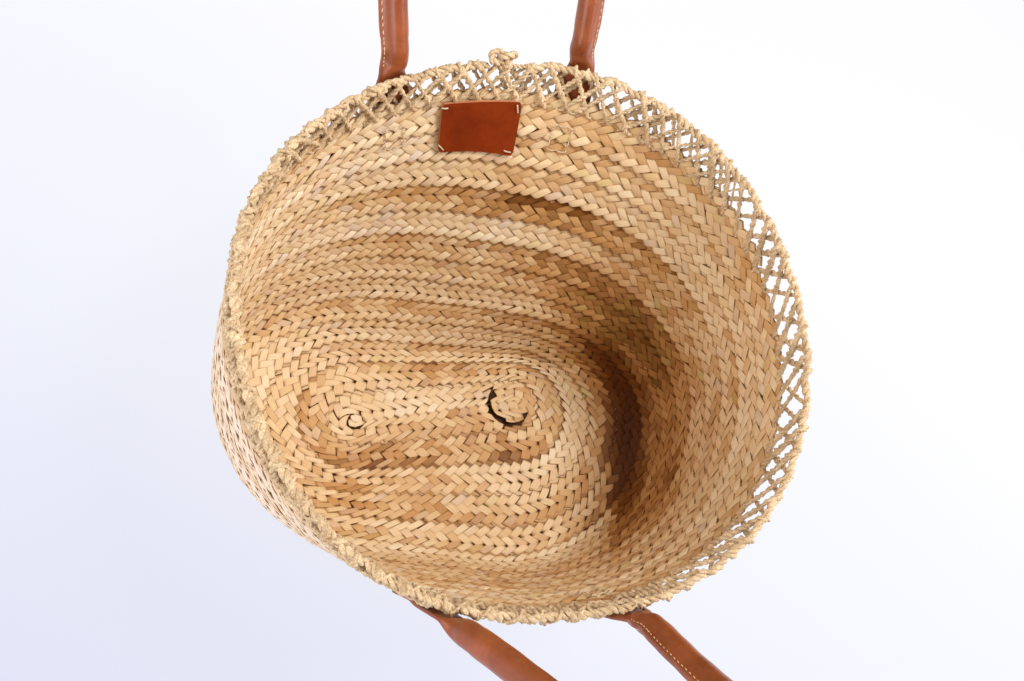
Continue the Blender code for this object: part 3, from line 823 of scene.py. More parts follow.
def painted_corner_shade(u, v):
    """Share of painted shade: most in the shadow where the floor meets the right wall, fading up the
    wall.
    """
    side = from_right(u)
    past = v - CORNER_SHADE_FROM - np.where(side < 0.0, 7.5, 1.5) * side**2
    within = np.exp(-(((side - CORNER_SHADE_MIDDLE_SHARE) / CORNER_SHADE_HALF_SHARE) ** 4))
    below, above = np.minimum(past, 0.0) / CORNER_SHADE_BELOW, np.maximum(past, 0.0) / CORNER_SHADE_ABOVE
    core = np.exp(-(below**2) - above**2)
    aside = (side - BROAD_SHADE_MIDDLE_SHARE) / BROAD_SHADE_HALF_SHARE
    broad = np.exp(-(aside**4) - ((past - BROAD_SHADE_FROM) / BROAD_SHADE_HALF) ** 2) * (past > -0.01)
    return np.maximum(within * core, 0.56 * broad)


def green_leaf(u, v):
    """Share of greenish leaves: a patch at the right of the back wall."""
    aside = (from_right(u) - GREEN_MIDDLE_SHARE) / GREEN_HALF_SHARE
    return 0.95 * np.exp(-(aside**2) - ((v - GREEN_AT) / GREEN_HALF) ** 2)


def darker_front(u):
    """Share of slightly darker leaves along the front."""
    return np.exp(-(((u % 1.0 - FRONT_MIDDLE_SHARE) / FRONT_HALF_SHARE) ** 4))


def painted_lit_side(u, v):
    """Share of painted light: the left wall, which the light from the right reaches, more towards the
    rim.
    """
    aside = (u % 1.0 - LIT_SIDE_MIDDLE_SHARE) / LIT_SIDE_HALF_SHARE
    return np.exp(-(aside**4)) * np.clip(v / PLAIT_TOP, 0.0, 1.0)


def blades_of_round(number, side):
    """Centres and settings of the blades of one round, on one side of the wall."""
    random = np.random.default_rng(100 * number + (1 if side > 0 else 0))
    low = (number - 1) * STRIP_PITCH
    rows = []
    start = 0.0
    shares = ROW_SHARES + (EDGE_ROW_SHARES if number == ROUNDS else ())
    for row, share in enumerate(shares):
        height = share * STRIP_PITCH
        middle = low + start + height / 2
        start += height
        count = max(12, round(float(ring_length(middle)) / BLADE_PITCH))
        index = np.arange(count)
        u = (index + 0.5 * (row % 2) + 0.37 * number + random.uniform(-0.05, 0.05, count)) / count
        pitch = float(ring_length(middle)) / count
        slant = -1.0 if row % 2 == 0 else 1.0
        thin = row == len(ROW_SHARES) - 1
        tone = 0.40 + 0.15 * smooth_noise(u, number * 7 + 3) + 0.09 * np.sin(number * 2.3)
        tone = tone + 0.10 * smooth_noise(u, number // 2 * 13 + 5, (1, 2, 3))
        # Painted light and shade of the row
        tone = tone + ROW_LIGHT_AND_SHADE[row]
        one, two = random.random(count), random.random(count)
        if side < 0:
            # Inside: painted shade darkens and evens the tone in the corner under the right wall, and
            # painted light brightens the left wall
            dark = np.clip(painted_corner_shade(u, middle), 0.0, 1.0)
            front = 0.12 if middle < FLOOR_TONE_END else 0.02
            tone = tone + 0.26 * painted_lit_side(u, middle) - front * darker_front(u)
            tone = tone * (1.0 - 0.95 * dark)
            one = one * (1.0 - 0.90 * dark)
            two = np.where(random.random(count) < green_leaf(u, middle), 0.04 * two, 0.06 + 0.94 * two)
            # Painted light on the left wall also shifts its blades towards the paler casts
            two = np.where(two < 0.10, two, two + 0.06 * painted_lit_side(u, middle))
        else:
            # Outer blades: a paler tone and the blue-grey end of the casts, painted cool light of the
            # bluish surroundings on the outside wall
            one, two, tone = 0.3 + 0.4 * one, 0.94 + 0.06 * two, tone + 0.06
        near_edge_row = np.abs(u % 1.0 - EDGE_ROW_AT) < EDGE_ROW_HALF
        kept = np.full(count, row < len(ROW_SHARES)) | near_edge_row
        rows.append(np.stack([
            u,
            np.full(count, middle) + random.normal(0.0, BLADE_STRAY, count),
            np.full(count, pitch * slant),
            np.full(count, STRIP_PITCH * ROW_SHARES[0] * (0.75 if thin else 1.0)),
            random.normal(0.0, BLADE_TURN_STRAY, count),
            random.uniform(1.0, 1.10, count),
            random.normal(0.0, BLADE_LIFT_STRAY, count) - (THIN_DROP if thin else 0.0),
            one,
            two,
            tone,
        ], axis=1)[kept])
    return np.concatenate(rows)


def make_plait(template, straw, shade_band):
    """The blades of every round on both sides of the wall, and the dark band of painted shade inside the
    plait.
    """
    corners = np.array([corner.co[:] for corner in template.vertices])
    for number in range(1, ROUNDS + 1):
        both = [blades_of_round(number, side) for side in (-1.0, 1.0)]
        blades = np.concatenate(both)
        sides = np.concatenate([np.full(len(part), side) for part, side in zip(both, (-1.0, 1.0))])
        data = copies(template, len(blades))
        u, v, run, row, turn, width, lift, one, two, tone = (column[:, None] for column in blades.T)
        along, across, top = corners[:, 0][None], corners[:, 1][None], corners[:, 2][None]
        reach_along = along * BLADE_REACH_SHARE
        narrow = width * (1.0 - BLADE_END_SHARE * along**2)
        step = reach_along * run * 0.5 + across * narrow * np.abs(run) * 0.25
        rise = reach_along * row * 0.5 - np.sign(run) * across * narrow * row * 0.25
        step, rise = step - turn * rise, rise + turn * step
        arch = BLADE_TOP - (BLADE_TOP - BLADE_SEAT) * np.abs(along) ** 2.4
        v_at = v + rise
        lap = np.clip(1.0 - (v_at / STRIP_PITCH - number + 1) / (2 * ROW_SHARES[0]), 0.0, 1.15)
        lap = np.where(row > 0.8 * STRIP_PITCH * ROW_SHARES[0], lap, 0.0) * (sides[:, None] < 0)
        arch = arch - BLADE_CROWN * 0.42 * across**2 + lift + LAP_LIFT * lap**1.5
        arch = np.maximum(arch, BLADE_SEAT)
        depth = np.where(top > 0, arch, np.maximum(arch - BLADE_THICKNESS, BLADE_SEAT / 4))
        u_at = u + step / ring_length(v)
        flip = v_at < 0.0
        u_at = np.where(flip, 1.0 - u_at, u_at)
        places = on_shell(u_at, np.abs(v_at), depth * sides[:, None])
        places[..., 2] = np.maximum(places[..., 2], TABLE_GAP)
        if number <= 2:
            inside = sides < 0
            middles = on_shell(blades[inside, 0], blades[inside, 1], 0.0)
            for curl in CURLS:
                places[inside] = open_curl(places[inside], middles, curl)
        set_places(data, places.reshape(-1, 3))
        colour = data.attributes.new("tone", "FLOAT_COLOR", "POINT")
        values = np.ones((len(blades), len(corners), 4), dtype=np.float32)
        values[..., 0] = one
        values[..., 1] = two
        values[..., 2] = np.clip(tone, 0.0, 1.0)
        colour.data.foreach_set("color", values.ravel())
        name = round_name(number)
        piece = place_mesh(f"{name}_blades", data, [straw], "basket", 70.0)
        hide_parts(*solids_of_round(number))
        make_shade_band(number, name, shade_band)


def round_name(number):
    """Name of a round of the strip, as in the solids."""
    if number == 1:
        return "floor_passes"
    if number <= FLOOR_ROUNDS:
        return f"floor_round_{number}"
    return f"wall_round_{number - FLOOR_ROUNDS:02d}"


def solids_of_round(number):
    """Solids that a round's blades stand for."""
    return ("floor_start_pass", "floor_return_pass") if number == 1 else (round_name(number),)


def make_shade_band(number, name, material):
    """Thin dark band between the inner and the outer blades of one round: painted shade that shows in
    the gaps and the curls as the shadow inside the plait.
    """
    low, high = (number - 1) * STRIP_PITCH, number * STRIP_PITCH
    if number == ROUNDS:
        high -= SHADE_BAND_SHORT
    u = np.arange(COLUMNS) / COLUMNS
    levels = np.linspace(max(low, SHADE_BAND_START), high, 9)
    inner = [on_shell(u, v, -SHADE_BAND_HALF) for v in levels]
    corners = inner + [on_shell(u, v, SHADE_BAND_HALF) for v in levels[::-1]]
    mesh = bmesh.new()
    add_skin(mesh, np.stack(corners, axis=1), closed=True)
    piece = finish_mesh(f"{name}_backing", mesh, [material], "basket")


def make_joint_cords(material):
    """Thin two-ply cord in each valley between two rounds."""
    u = np.arange(COLUMNS * 4) / (COLUMNS * 4)
    for number in range(1, ROUNDS):
        path = on_shell(u, number * STRIP_PITCH, 0.0)
        mesh = bmesh.new()
        add_cord(mesh, path, JOINT_CORD / 4, JOINT_LAY, JOINT_CORD / 3.2, 5, closed=True)
        piece = finish_mesh(f"joint_cord_{number:02d}_twist", mesh, [material], "basket")
        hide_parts(f"joint_cord_{number:02d}")
    way = np.linspace(0.02, 0.98, JOINT_STEPS)[:, None]
    path = read_grid(GRID, 0.0, 0.0) * (1 - way) + read_grid(GRID, 0.5, 0.0) * way
    mesh = bmesh.new()
    add_cord(mesh, path, JOINT_CORD / 4, JOINT_LAY, JOINT_CORD / 3.2, 5)
    piece = finish_mesh("joint_cord_centre_twist", mesh, [material], "basket")
    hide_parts("joint_cord_centre")


def density(u):
    """How tightly the openwork is laced at u: open on the right, dense elsewhere."""
    low = np.clip((u % 1.0 - OPEN_END_SHARE) / OPEN_FADE_SHARE, 0.0, 1.0)
    high = np.clip((DENSE_END_SHARE - u % 1.0) / DENSE_FADE_SHARE, 0.0, 1.0)
    return low * low * (3 - 2 * low) * high * high * (3 - 2 * high)


def sink(u):
    """How far the rim lies below its even run: tight lacing, and the notch between the rope's ends."""
    notch = np.exp(-((((u % 1.0) - NOTCH_SHARE) / NOTCH_HALF_SHARE) ** 2))
    return TIGHT_SINK * density(u) + NOTCH_SINK * notch


def zigzag_path(number, random, inner=-1.0):
    """Route of one openwork cord: through the plait's edge, up, over the rope and down again."""
    us, vs, depths = [], [], []
    layer = OPENWORK_CORD / 2
    bottom, top = PLAIT_TOP - LACE_DEPTH, ROPE_AT + WRAP_RADIUS
    wobble_low = random.normal(0.0, LACE_STRAY, ZIGZAGS_ROUND)
    wobble_top = random.normal(0.0, LACE_STRAY, ZIGZAGS_ROUND)
    for leg in range(2 * ZIGZAGS_ROUND):
        rising = leg % 2 == 0
        side = inner if rising else -inner
        first = wobble_low[leg // 2] if rising else wobble_top[leg // 2]
        last = wobble_top[leg // 2] if rising else wobble_low[(leg // 2 + 1) % ZIGZAGS_ROUND]
        for way in np.linspace(0.0, 1.0, LEG_STEPS + 1)[:-1]:
            share = ((leg + way) / 2 + number / OPENWORK_CORDS) / ZIGZAGS_ROUND
            up = way if rising else 1.0 - way
            base = layer * min(1.0, up / LIFT_SHARE)
            depth = base
            if up > WRAP_FROM_SHARE:
                wrap = (up - WRAP_FROM_SHARE) / WRAP_SHARE
                depth = base + (WRAP_RADIUS - base) * sin(pi * min(wrap * WRAP_QUICKER, 1.0))
                if wrap > OVER_FROM_SHARE:
                    depth = WRAP_RADIUS * cos(pi / 2 * (wrap - OVER_FROM_SHARE) / OVER_SHARE)
            shift = first * (1 - way) + last * way
            us.append(share + shift / ring_length(ROPE_AT))
            vs.append(bottom + (top - bottom - sink(us[-1])) * up)
            depths.append(side * depth)
    return on_shell(np.array(us), np.array(vs), np.array(depths)), np.array(us)


def make_openwork(material):
    """The two-ply cords that zigzag from the plait to the rope, and thin ones where it is dense."""
    random = np.random.default_rng(5)
    for number in range(OPENWORK_CORDS):
        path, u = zigzag_path(number, random)
        thick = LACE_PLY - LACE_TIGHTER * density(u) + CORD_UNEVEN * np.sin(2 * pi * 17 * u)
        mesh = bmesh.new()
        add_cord(mesh, path, thick * 0.92, LACE_LAY, thick, 7, closed=True, start=number)
        path, u = zigzag_path(number + FILL_SHIFT, random, 1.0)
        dense = np.flatnonzero(density(u) > FILL_LEAST_DENSITY)
        part, share = path[dense[0] : dense[-1] + 1], u[dense[0] : dense[-1] + 1]
        thick = FILL_PLY + FILL_THICKER * density(share) + CORD_UNEVEN * np.sin(2 * pi * 23 * share)
        add_cord(mesh, part, thick * 0.95, FILL_LAY, thick, 7, start=number + FILL_SHIFT)
        piece = finish_mesh(f"openwork_cord_{number + 1}_twist", mesh, [material], "basket", 80.0)
        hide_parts(f"openwork_cord_{number + 1}")


def make_rope(material):
    """The two-ply rope along the edge, and the knot on its first end."""
    length = float(ring_length(ROPE_AT))
    share = np.linspace(ROPE_START_SHARE, 1.0 + ROPE_STOP_SHARE, int(length / ROPE_STEP))
    wave = ROPE_WAVE * np.sin(2 * pi * share * 29)
    wave = wave + ROPE_RIPPLE * np.sin(2 * pi * share * 47 + 1.0)
    sway = ROPE_SWAY * np.sin(2 * pi * share * 37)
    path = on_shell(share, ROPE_AT + wave - sink(share), sway)
    thick = ROPE_PLY + ROPE_PLY_UNEVEN * np.sin(2 * pi * share * 61)
    mesh = bmesh.new()
    add_cord(mesh, path, ROPE_PLY_OFFSET, ROPE_LAY, thick, 9)
    piece = finish_mesh("rim_rope_twist", mesh, [material], "basket", 80.0)
    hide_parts("rim_rope")
    middle = on_shell(0.5 * (KNOT_START_SHARE + ROPE_START_SHARE), ROPE_AT + KNOT_RISE, 0.0)
    ends = on_shell(np.array([KNOT_START_SHARE, ROPE_START_SHARE]), ROPE_AT, 0.0)
    along = (ends[1] - ends[0]) / np.linalg.norm(ends[1] - ends[0])
    normal = read_grid(NORMALS, KNOT_START_SHARE, ROPE_AT)
    upward = np.cross(normal, along)
    turn = np.linspace(0.0, 2 * pi, 73)[:-1]
    knot = (
        along * ((np.sin(turn) + 2 * np.sin(2 * turn)) * KNOT_WIDE)[:, None]
        + upward * ((np.cos(turn) - 2 * np.cos(2 * turn)) * KNOT_TALL)[:, None]
        + normal * (-np.sin(3 * turn) * KNOT_DEEP)[:, None]
    )
    mesh = bmesh.new()
    add_cord(mesh, middle + knot, KNOT_PLY_OFFSET, KNOT_LAY, KNOT_PLY, 8, closed=True)
    under_rope, under_knot = BRIDGE_LAP_SHARES
    bridge = np.linspace(ROPE_STOP_SHARE - under_rope, KNOT_START_SHARE + under_knot, BRIDGE_STEPS)
    sag = np.sin(np.linspace(0.0, pi, BRIDGE_STEPS)) * -BRIDGE_SAG
    path = on_shell(bridge, ROPE_AT - BRIDGE_DROP + sag, 0.0)
    add_cord(mesh, path, BRIDGE_PLY_OFFSET, BRIDGE_LAY, BRIDGE_PLY, 7)
    piece = finish_mesh("rope_end_knot_twist", mesh, [material], "basket", 80.0)
    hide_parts("rope_end_knot")


# Handles


class HandleFrame:
    """Directions and hinge points of one handle, as in the solids."""

    def __init__(self, name, body, shares, lean, splay):
        self.name, self.body, self.shares, self.splay = name, body, shares, splay
        ropes = on_shell(np.array(shares), ROPE_AT, 0.0)
        chord = ropes[1] - ropes[0]
        self.out = np.array([-chord[1], chord[0], 0.0]) / np.hypot(chord[0], chord[1])
        self.along = chord / np.linalg.norm(chord)
        self.rise = np.cross(self.along, self.out)
        self.hinges = [rope + self.out * HINGE_OUT + self.rise * HINGE_UP for rope in ropes]
        self.spread = np.linalg.norm(chord)
        self.middle = (self.hinges[0] + self.hinges[1]) / 2
        self.up = self.rise * cos(lean) + self.out * sin(lean)
        self.face = self.out * cos(lean) - self.rise * sin(lean)
        self.sides = ("left", "right") if name == "handle_back" else ("right", "left")
        self.swell, self.seam = (1.0, 1.0) if name == "handle_back" else (1.07, -1.0)

    def path(self, start, steps):
        """Points, upward directions and sideways directions along the arch."""
        foot, top = self.spread / 2, HANDLE_HEIGHT
        rise = top * ARCH_RISE_SHARE
        pull = (foot, foot + rise * sin(self.splay), foot * ARCH_SHOULDER_SHARE, 0.0)
        lift = (0.0, rise * cos(self.splay), top, top)
        t = np.linspace(0.0, 1.0, 200)
        shares = ((1 - t) ** 3, 3 * t * (1 - t) ** 2, 3 * t**2 * (1 - t), t**3)
        x = sum(share * value for share, value in zip(shares, pull))
        y = sum(share * value for share, value in zip(shares, lift))
        x, y = np.append(-x, x[-2::-1]), np.append(y, y[-2::-1])
        way = np.append(0.0, np.cumsum(np.hypot(np.diff(x), np.diff(y))))
        wanted = np.linspace(start, way[-1] - start, steps)
        run, climbing = np.interp(wanted, way, np.gradient(x)), np.interp(wanted, way, np.gradient(y))
        size = np.hypot(run, climbing)
        run, climbing = run / size, climbing / size
        x, y = np.interp(wanted, way, x), np.interp(wanted, way, y)
        points = self.middle + np.outer(x, self.along) + np.outer(y, self.up)
        side = np.outer(climbing, self.along) - np.outer(run, self.up)
        return points, np.outer(run, self.along) + np.outer(climbing, self.up), side


SECTION_ANGLES = np.radians(
    np.append(np.linspace(-152.0, 152.0, ROUND_POINTS), (160.0, 170.0, 180.0, 190.0, 200.0))
)


def roll_outline():
    """Section of the roll: a round body, and the flange that is stitched, on its -X side."""
    x = ROLL_ASIDE + ROLL_HALF_WIDTH * np.cos(SECTION_ANGLES[:ROUND_POINTS])
    y = ROLL_HALF_DEPTH * np.sin(SECTION_ANGLES[:ROUND_POINTS])
    return np.concatenate([np.stack([x, y], axis=1), np.array(FLANGE)])


def stitch_rows(middles, ahead, aside, out, seam, swell, slant):
    """Mesh of two rows of stitches, one on each face of the flange, along the middles."""
    template = stitch_template()
    corners = np.array([corner.co[:] for corner in template.vertices])
    long, wide, tall = corners[None, :, :1], corners[None, :, 1:2], corners[None, :, 2:]
    out = np.broadcast_to(out, middles.shape)
    places = []
    for face in (1.0, -1.0):
        base = middles - (aside * STITCH_IN * seam - out * STITCH_UP * face) * swell
        places.append(
            base[:, None]
            + ahead[:, None] * long * STITCH_HALF_LENGTH
            + aside[:, None] * (wide * STITCH_HALF_WIDTH + long * slant)
            + out[:, None] * tall * STITCH_HALF_WIDTH
        )
    data = copies(template, 2 * len(middles))
    set_places(data, np.concatenate(places).reshape(-1, 3))
    return data


def make_roll(handle, leather, thread):
    """The rolled leather of a handle and the stitches along its flange."""
    points, _, side = handle.path(ROLL_START, ROLL_SECTIONS)
    outline = roll_outline() * handle.swell
    grow = 1.0
    for size, turns in ROLL_WAVES:
        grow = grow + size * np.sin(np.linspace(0.0, turns, ROLL_SECTIONS))
    rings = (
        points[:, None]
        + side[:, None] * outline[None, :, :1] * grow[:, None, None] * handle.seam
        + handle.face * outline[None, :, 1:] * grow[:, None, None]
    )
    mesh = bmesh.new()
    add_skin(mesh, rings)
    roll = finish_mesh(f"{handle.name}_roll", mesh, [leather], handle.body, 40.0)
    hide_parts(f"{handle.name}_leather", f"{handle.name}_core")
    points, ahead, side = handle.path(ROLL_START + STITCH_START, ROLL_STITCHES)
    data = stitch_rows(points, ahead, side, handle.face, handle.seam, handle.swell, STITCH_SLANT)
    stitches = place_mesh(f"{handle.name}_roll_stitches", data, [thread], handle.body)


def strap_section(width, thickness, square, rolled):
    """Section of a strap: flat with tighter corners as square grows, or rolled by that share."""
    power = 2.0 / square
    x, y = np.cos(SECTION_ANGLES), np.sin(SECTION_ANGLES)
    x = np.sign(x) * np.abs(x) ** power * width / 2
    y = np.sign(y) * np.abs(y) ** power * thickness / 2
    return np.stack([x, y], axis=1) * (1.0 - rolled) + roll_outline() * rolled


def strap_stations(handle, number):
    """Middle, sideways and outward direction, and section, from the sewn end to the roll."""
    share = handle.shares[number]
    skin = WALL / 2 + PLAIT_SEAT + TAB_THICKNESS / 2 + STRAP_LIFT
    net = OPENWORK_CORD + PLAIT_SEAT + TAB_THICKNESS / 2
    rope = ROPE_RADIUS + PLAIT_SEAT + TAB_THICKNESS / 2
    rows = [(-TAB_REACH, skin, TAB_WIDTH - STRAP_END_NARROWER)]
    rows += [(-TAB_REACH + STRAP_END_LENGTH, skin, TAB_WIDTH)]
    sewn = np.linspace(-TAB_REACH + SEWN_FROM, PLAIT_TOP - TAB_RAMP - ROPE_AT, SEWN_ROWS)
    rows += [(up, skin, TAB_WIDTH) for up in sewn]
    rows += [(PLAIT_TOP - ROPE_AT, net, TAB_WIDTH - NET_NARROWER)]
    rows += [(-BELOW_ROPE, net + NET_LIFT, TAB_WIDTH - BELOW_ROPE_NARROWER)]
    flat = handle.name == "handle_front" and number == 1
    narrower = FLAT_NARROWER if flat else ROLLED_NARROWER
    rows += [(0.0, rope + OVER_ROPE_LIFT, TAB_ROPE_WIDTH - narrower)]
    stations = []
    for up, depth, width in rows:
        place = on_patch(share, ROPE_AT, 0.0, up, depth)
        left, right = (
            on_patch(share, ROPE_AT, step, up, depth) for step in (-PROBE_ASIDE, PROBE_ASIDE)
        )
        low, high = (
            on_patch(share, ROPE_AT, 0.0, up + step, depth) for step in (-PROBE_UP, PROBE_UP)
        )
        aside, above = right - left, high - low
        aside /= np.linalg.norm(aside)
        out = np.cross(aside, above / np.linalg.norm(above))
        rolled = 0.25 if up == 0.0 and not flat else 0.0
        stations.append((place, aside, out / np.linalg.norm(out), width, TAB_THICKNESS, 7.0, rolled))
    hinge = handle.hinges[number]
    back = -handle.along
    lower = hinge - handle.rise * UNDER_HINGE - handle.out * BEHIND_HINGE
    stations.append((lower, back, handle.out, *LOWER_FOLD))
    stations.append((hinge, back, (handle.out + handle.face) / 2, *HINGE_FOLD))
    points, _, _ = handle.path(ROLL_START + ROLL_LAP, 40)
    end = points[0] if number == 0 else points[-1]
    stations.append((end, back, handle.face, *UPPER_FOLD))
    return stations


def make_strap(handle, number, leather, thread):
    """Flat sewn end of a handle, its bend over the rope and the fold, up to the roll."""
    side_name = handle.sides[number]
    stations = strap_stations(handle, number)
    place = np.array([station[0] for station in stations])
    way = np.append(0.0, np.cumsum(np.linalg.norm(np.diff(place, axis=0), axis=1)))
    fine = np.linspace(0.0, way[-1], STRAP_SECTIONS)

    def follow(values):
        values = np.asarray(values, float)
        values = values.reshape(len(way), -1)
        out = np.stack([np.interp(fine, way, column) for column in values.T], axis=1)
        for _ in range(STRAP_SMOOTHINGS):
            out[1:-1] = (out[:-2] + 2 * out[1:-1] + out[2:]) / 4
        return out

    centre = follow(place)
    aside = follow([station[1] for station in stations])
    out = follow([station[2] for station in stations])
    aside /= np.linalg.norm(aside, axis=1, keepdims=True)
    out -= aside * (aside * out).sum(axis=1, keepdims=True)
    out /= np.linalg.norm(out, axis=1, keepdims=True)
    sizes = follow([station[3:] for station in stations])
    flip = handle.seam * (-1.0 if number == 0 else 1.0)
    rings = []
    for middle, across, outward_way, (width, thick, square, rolled) in zip(centre, aside, out, sizes):
        grow = 1.0 + (0.975 * handle.swell - 1.0) * rolled
        x, y = (strap_section(width, thick, square, rolled) * grow).T
        rings.append(middle + np.outer(flip * x, across) + np.outer(y, outward_way))
    mesh = bmesh.new()
    add_skin(mesh, rings)
    strap = finish_mesh(f"{handle.name}_{side_name}_strap", mesh, [leather], None, 45.0)
    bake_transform(strap)
    spots = np.flatnonzero(sizes[:, 3] > STITCHED_FROM_SHARE)
    count = max(2, round((way[-1] - fine[spots[0]]) / STITCH_STEP))
    spots = spots[np.linspace(0, len(spots) - 1, count).astype(int)]
    ahead = np.gradient(centre, axis=0)[spots]
    ahead /= np.linalg.norm(ahead, axis=1, keepdims=True)
    data = stitch_rows(centre[spots], ahead, aside[spots], out[spots], flip, handle.swell, 0.0)
    row = place_mesh(f"{handle.name}_{side_name}_strap_stitches", data, [thread], None)
    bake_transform(row)
    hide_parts(f"{handle.name}_{side_name}_tab")
    make_seams(handle, number, side_name, thread)


def seam_route(step):
    """Places across and up along the seam's rectangle, about a step apart."""
    half = TAB_WIDTH / 4
    low, high = SEAM_MARGIN - TAB_REACH, SEAM_MARGIN - TAB_REACH + SEAM_HEIGHT
    corners = np.array([(-half, low), (half, low), (half, high), (-half, high), (-half, low)])
    way = np.append(0.0, np.cumsum(np.linalg.norm(np.diff(corners, axis=0), axis=1)))
    wanted = np.linspace(0.0, way[-1], round(way[-1] / step) + 1)[:-1]
    return np.interp(wanted, way, corners[:, 0]), np.interp(wanted, way, corners[:, 1])


def make_seams(handle, number, side_name, thread):
    """Thread of one seam: stitches on the leather outside, and on the plait inside."""
    share = handle.shares[number]
    across, up = seam_route(SEAM_STEP)
    for place_name, seam in (("outer", OUTER_SEAM), ("inner", INNER_SEAM)):
        depth, stitch, roundness, dive, radius = seam
        beat = np.arange(len(across)) * SEAM_STEP / stitch
        shown = np.abs(np.sin(pi * beat)) ** roundness
        path = on_patch(share, ROPE_AT, across, up, depth - np.sign(depth) * dive * (1.0 - shown))
        mesh = bmesh.new()
        add_skin(mesh, tube(path, radius, 6, closed=True), closed=True)
        piece = finish_mesh(f"{handle.name}_{side_name}_{place_name}_stitches", mesh, [thread], "basket")
        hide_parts(f"{handle.name}_{side_name}_{place_name}_thread")


# Label


def make_label(leather, raw, thread):
    """The bare leather plate, with its raw edge, and the stitch at each corner."""
    share, v = LABEL_SHARE + LABEL_ASIDE_SHARE, PLAIT_TOP - LABEL_DROP + LABEL_RAISE
    near = -WALL / 2 - PLAIT_SEAT - LABEL_GAP
    far = near - LABEL_THICKNESS + LABEL_THINNER
    steps = np.linspace(-0.5, 0.5, 25)
    rise = np.linspace(-0.5, 0.5, 15)
    rings = []
    for up in rise:
        grow = np.sqrt(np.maximum(0.0, 1.0 - (2 * abs(up)) ** 14)) * LABEL_CORNER
        width = LABEL_WIDTH - LABEL_CORNER + grow
        wave = LABEL_WAVE * np.sin(steps * 5.0 + up * 3.0)
        inner = on_patch(share, v, steps * width, up * LABEL_HEIGHT, near - wave)
        short = LABEL_HEIGHT - LABEL_BEVEL
        outer = on_patch(share, v, steps * (width - LABEL_BEVEL), up * short, far - wave)
        rings.append(np.concatenate([inner, outer[::-1]]))
    mesh = bmesh.new()
    add_skin(mesh, rings)
    close_mesh(mesh)
    facing = Vector(read_grid(NORMALS, share, v))
    for face in mesh.faces:
        face.material_index = 0 if abs(face.normal.dot(facing)) > 0.75 else 1
    label = finish_mesh("label_plate", mesh, [leather, raw], "basket", 30.0)
    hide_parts("label_patch")
    half_width, half_height = LABEL_WIDTH / 2 - LABEL_CORNER, LABEL_HEIGHT / 2 - LABEL_CORNER
    way = np.linspace(0.0, 1.0, 14)
    for number, ((side, edge), (across, up)) in enumerate(LABEL_STITCH_SLANTS.items(), 1):
        path = on_patch(
            share, v,
            side * half_width + across * (way - LABEL_STITCH_BACK_SHARE),
            edge * half_height + up * (way - LABEL_STITCH_BACK_SHARE),
            far - LABEL_STITCH_RISE * np.sin(pi * way) - LABEL_STITCH_GAP,
        )
        mesh = bmesh.new()
        add_cord(mesh, path, LABEL_STITCH_PLY_OFFSET, LABEL_STITCH_LAY, LABEL_STITCH_PLY, 7)
        piece = finish_mesh(f"label_stitch_{number}_thread", mesh, [thread], "basket")
        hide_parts(f"label_stitch_{number}")


# Light, stage and camera


TABLE_HALF = 3.0


def make_stage():
    """White table that runs on beyond the picture: it glows with a painted falloff to pale blue, so it
    lights the basket from below and shows almost no shadow.
    """
    mesh = bmesh.new()
    bmesh.ops.create_grid(mesh, x_segments=8, y_segments=8, size=TABLE_HALF)
    material, tree, shader = shader_material("white_table")
    place = node(tree, "ShaderNodeTexCoord")
    slope = node(tree, "ShaderNodeMapping")
    slope.inputs["Rotation"].default_value = (0.0, 0.0, radians(-68.0))
    slope.inputs["Location"].default_value = (0.5, 0.0, 0.0)
    # Painted falloff: the glow fades to pale blue towards one side
    painted_falloff = node(tree, "ShaderNodeTexGradient")
    tree.links.new(place.outputs["Object"], slope.inputs["Vector"])
    tree.links.new(slope.outputs[0], painted_falloff.inputs["Vector"])
    colours = shade_by(tree, painted_falloff.outputs[0], (
        (0.0, (0.66, 0.68, 0.86)), (0.45, (0.86, 0.875, 0.95)), (1.0, (0.97, 0.965, 0.985)),
    ))
    # The table glows though it is no lamp: painted light that also lights the basket from below and
    # washes out its shadow
    tree.links.new(colours, shader.inputs["Emission Color"])
    shader.inputs["Emission Strength"].default_value = 0.95
    shader.inputs["Base Color"].default_value = (0.06, 0.06, 0.065, 1.0)
    shader.inputs["Roughness"].default_value = 0.9
    shader.inputs["Specular IOR Level"].default_value = 0.0
    data = bpy.data.meshes.new("table_top")
    mesh.to_mesh(data)
    mesh.free()
    data.materials.append(material)
    table = bpy.data.objects.new("table_top", data)
    bpy.context.scene.collection.objects.link(table)


def area_light(name, place, target, size, watts, colour):
    """Soft square light that looks at the target."""
    lamp = bpy.data.lights.new(name, "AREA")
    lamp.size = size
    lamp.energy = watts
    lamp.color = colour
    light = bpy.data.objects.new(name, lamp)
    light.location = place
    light.rotation_euler = (Vector(target) - Vector(place)).to_track_quat("-Z", "Y").to_euler()
    bpy.context.scene.collection.objects.link(light)


def make_lights():
    """Bright even studio: a strong light high on the right, and soft ones on three sides."""
    world = bpy.data.worlds.new("studio")
    bpy.context.scene.world = world
    world.use_nodes = True
    background = world.node_tree.nodes["Background"]
    background.inputs["Color"].default_value = (0.93, 0.95, 1.0, 1.0)
    background.inputs["Strength"].default_value = 0.32
    area_light("key", (0.46, 0.16, 1.75), (0.0, 0.0, 0.1), 0.45, 24.5, (1.0, 0.985, 0.96))
    area_light("left", (-1.3, -0.25, 0.85), (0.1, 0.0, 0.2), 0.9, 11.0, (0.97, 0.98, 1.0))
    area_light("right", (1.4, -0.1, 0.95), (-0.1, 0.0, 0.25), 0.9, 15.0, (0.97, 0.98, 1.0))
    area_light("front", (-0.9, -1.3, 0.45), (-0.1, -0.1, 0.2), 0.9, 12.0, (0.97, 0.98, 1.0))


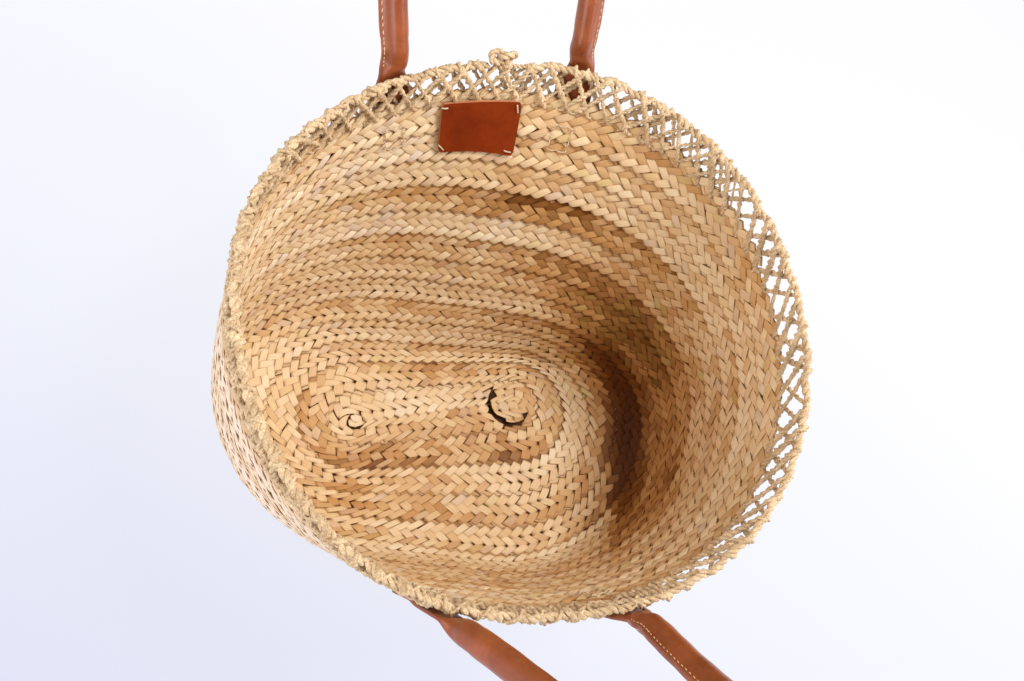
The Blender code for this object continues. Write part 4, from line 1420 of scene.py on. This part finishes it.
def make_camera():
    """Camera of the photograph, solved from the joints between the strips."""
    tilt_back, tilt_side, roll = 0.3814, 0.3142, 0.065
    focal, distance = 794.86, 0.8542
    centre_x, centre_y = 437.16, 411.69
    width, height = 1024, 681
    back = Vector((-tan(tilt_side), -tan(tilt_back), 1.0)).normalized()
    up = (Vector((0.0, 1.0, 0.0)) - back * back.y).normalized()
    right = up.cross(back)
    across = right * cos(roll) + up * sin(roll)
    above = up * cos(roll) - right * sin(roll)
    middle = Vector((0.0, EYE_LINE_Y, WALL / 2))
    shift_x = (centre_x - width / 2) * distance / focal
    shift_y = (height / 2 - centre_y) * distance / focal
    data = bpy.data.cameras.new("photo_camera")
    data.lens = focal * data.sensor_width / width
    data.clip_start = 0.01
    camera = bpy.data.objects.new("photo_camera", data)
    turn = Matrix((across, above, back)).transposed().to_4x4()
    place = middle - across * shift_x - above * shift_y + back * distance
    camera.matrix_world = Matrix.Translation(place) @ turn
    bpy.context.scene.collection.objects.link(camera)
    bpy.context.scene.camera = camera
    bpy.context.scene.view_settings.view_transform = "Standard"


def main():
    """Dresses every piece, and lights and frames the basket."""
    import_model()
    fibre, grain = fibre_group(), leather_group()
    straw = straw_material("palm_straw")
    # A dark sheet of painted shade for the inside of the plait
    shade_band = cord_material("palm_shadow", fibre, (0.085, 0.036, 0.012), (0.045, 0.017, 0.005))
    lattice = cord_material("lattice_cord", fibre, (0.86, 0.65, 0.41), (0.52, 0.36, 0.20))
    rope = cord_material("rope_cord", fibre, (0.86, 0.65, 0.41), (0.54, 0.37, 0.21))
    joint = cord_material("joint_cord", fibre, (0.46, 0.33, 0.18), (0.22, 0.13, 0.06))
    thread = cord_material("waxed_thread", fibre, (0.82, 0.70, 0.52), (0.62, 0.48, 0.32))
    tan_leather = leather_material(
        "tan_leather", grain, (0.37, 0.092, 0.026), (0.18, 0.038, 0.009), 0.20
    )
    label_leather = leather_material(
        "label_leather", grain, (0.27, 0.037, 0.003), (0.18, 0.020, 0.0015), 0.50, 0.12
    )
    raw_edge = leather_material(
        "raw_leather_edge", grain, (0.52, 0.22, 0.10), (0.36, 0.12, 0.05), 0.6
    )
    make_plait(blade_template(), straw, shade_band)
    make_joint_cords(joint)
    make_openwork(lattice)
    make_rope(rope)
    for name, body, shares, lean, splay in (
        ("handle_back", "back_handle", BACK_LEG_SHARES, BACK_LEAN, BACK_SPLAY),
        ("handle_front", "front_handle", FRONT_LEG_SHARES, FRONT_LEAN, FRONT_SPLAY),
    ):
        handle = HandleFrame(name, body, shares, lean, splay)
        make_roll(handle, tan_leather, thread)
        for number in (0, 1):
            make_strap(handle, number, tan_leather, thread)
    make_label(label_leather, raw_edge, thread)
    make_stage()
    make_lights()
    make_camera()


main()
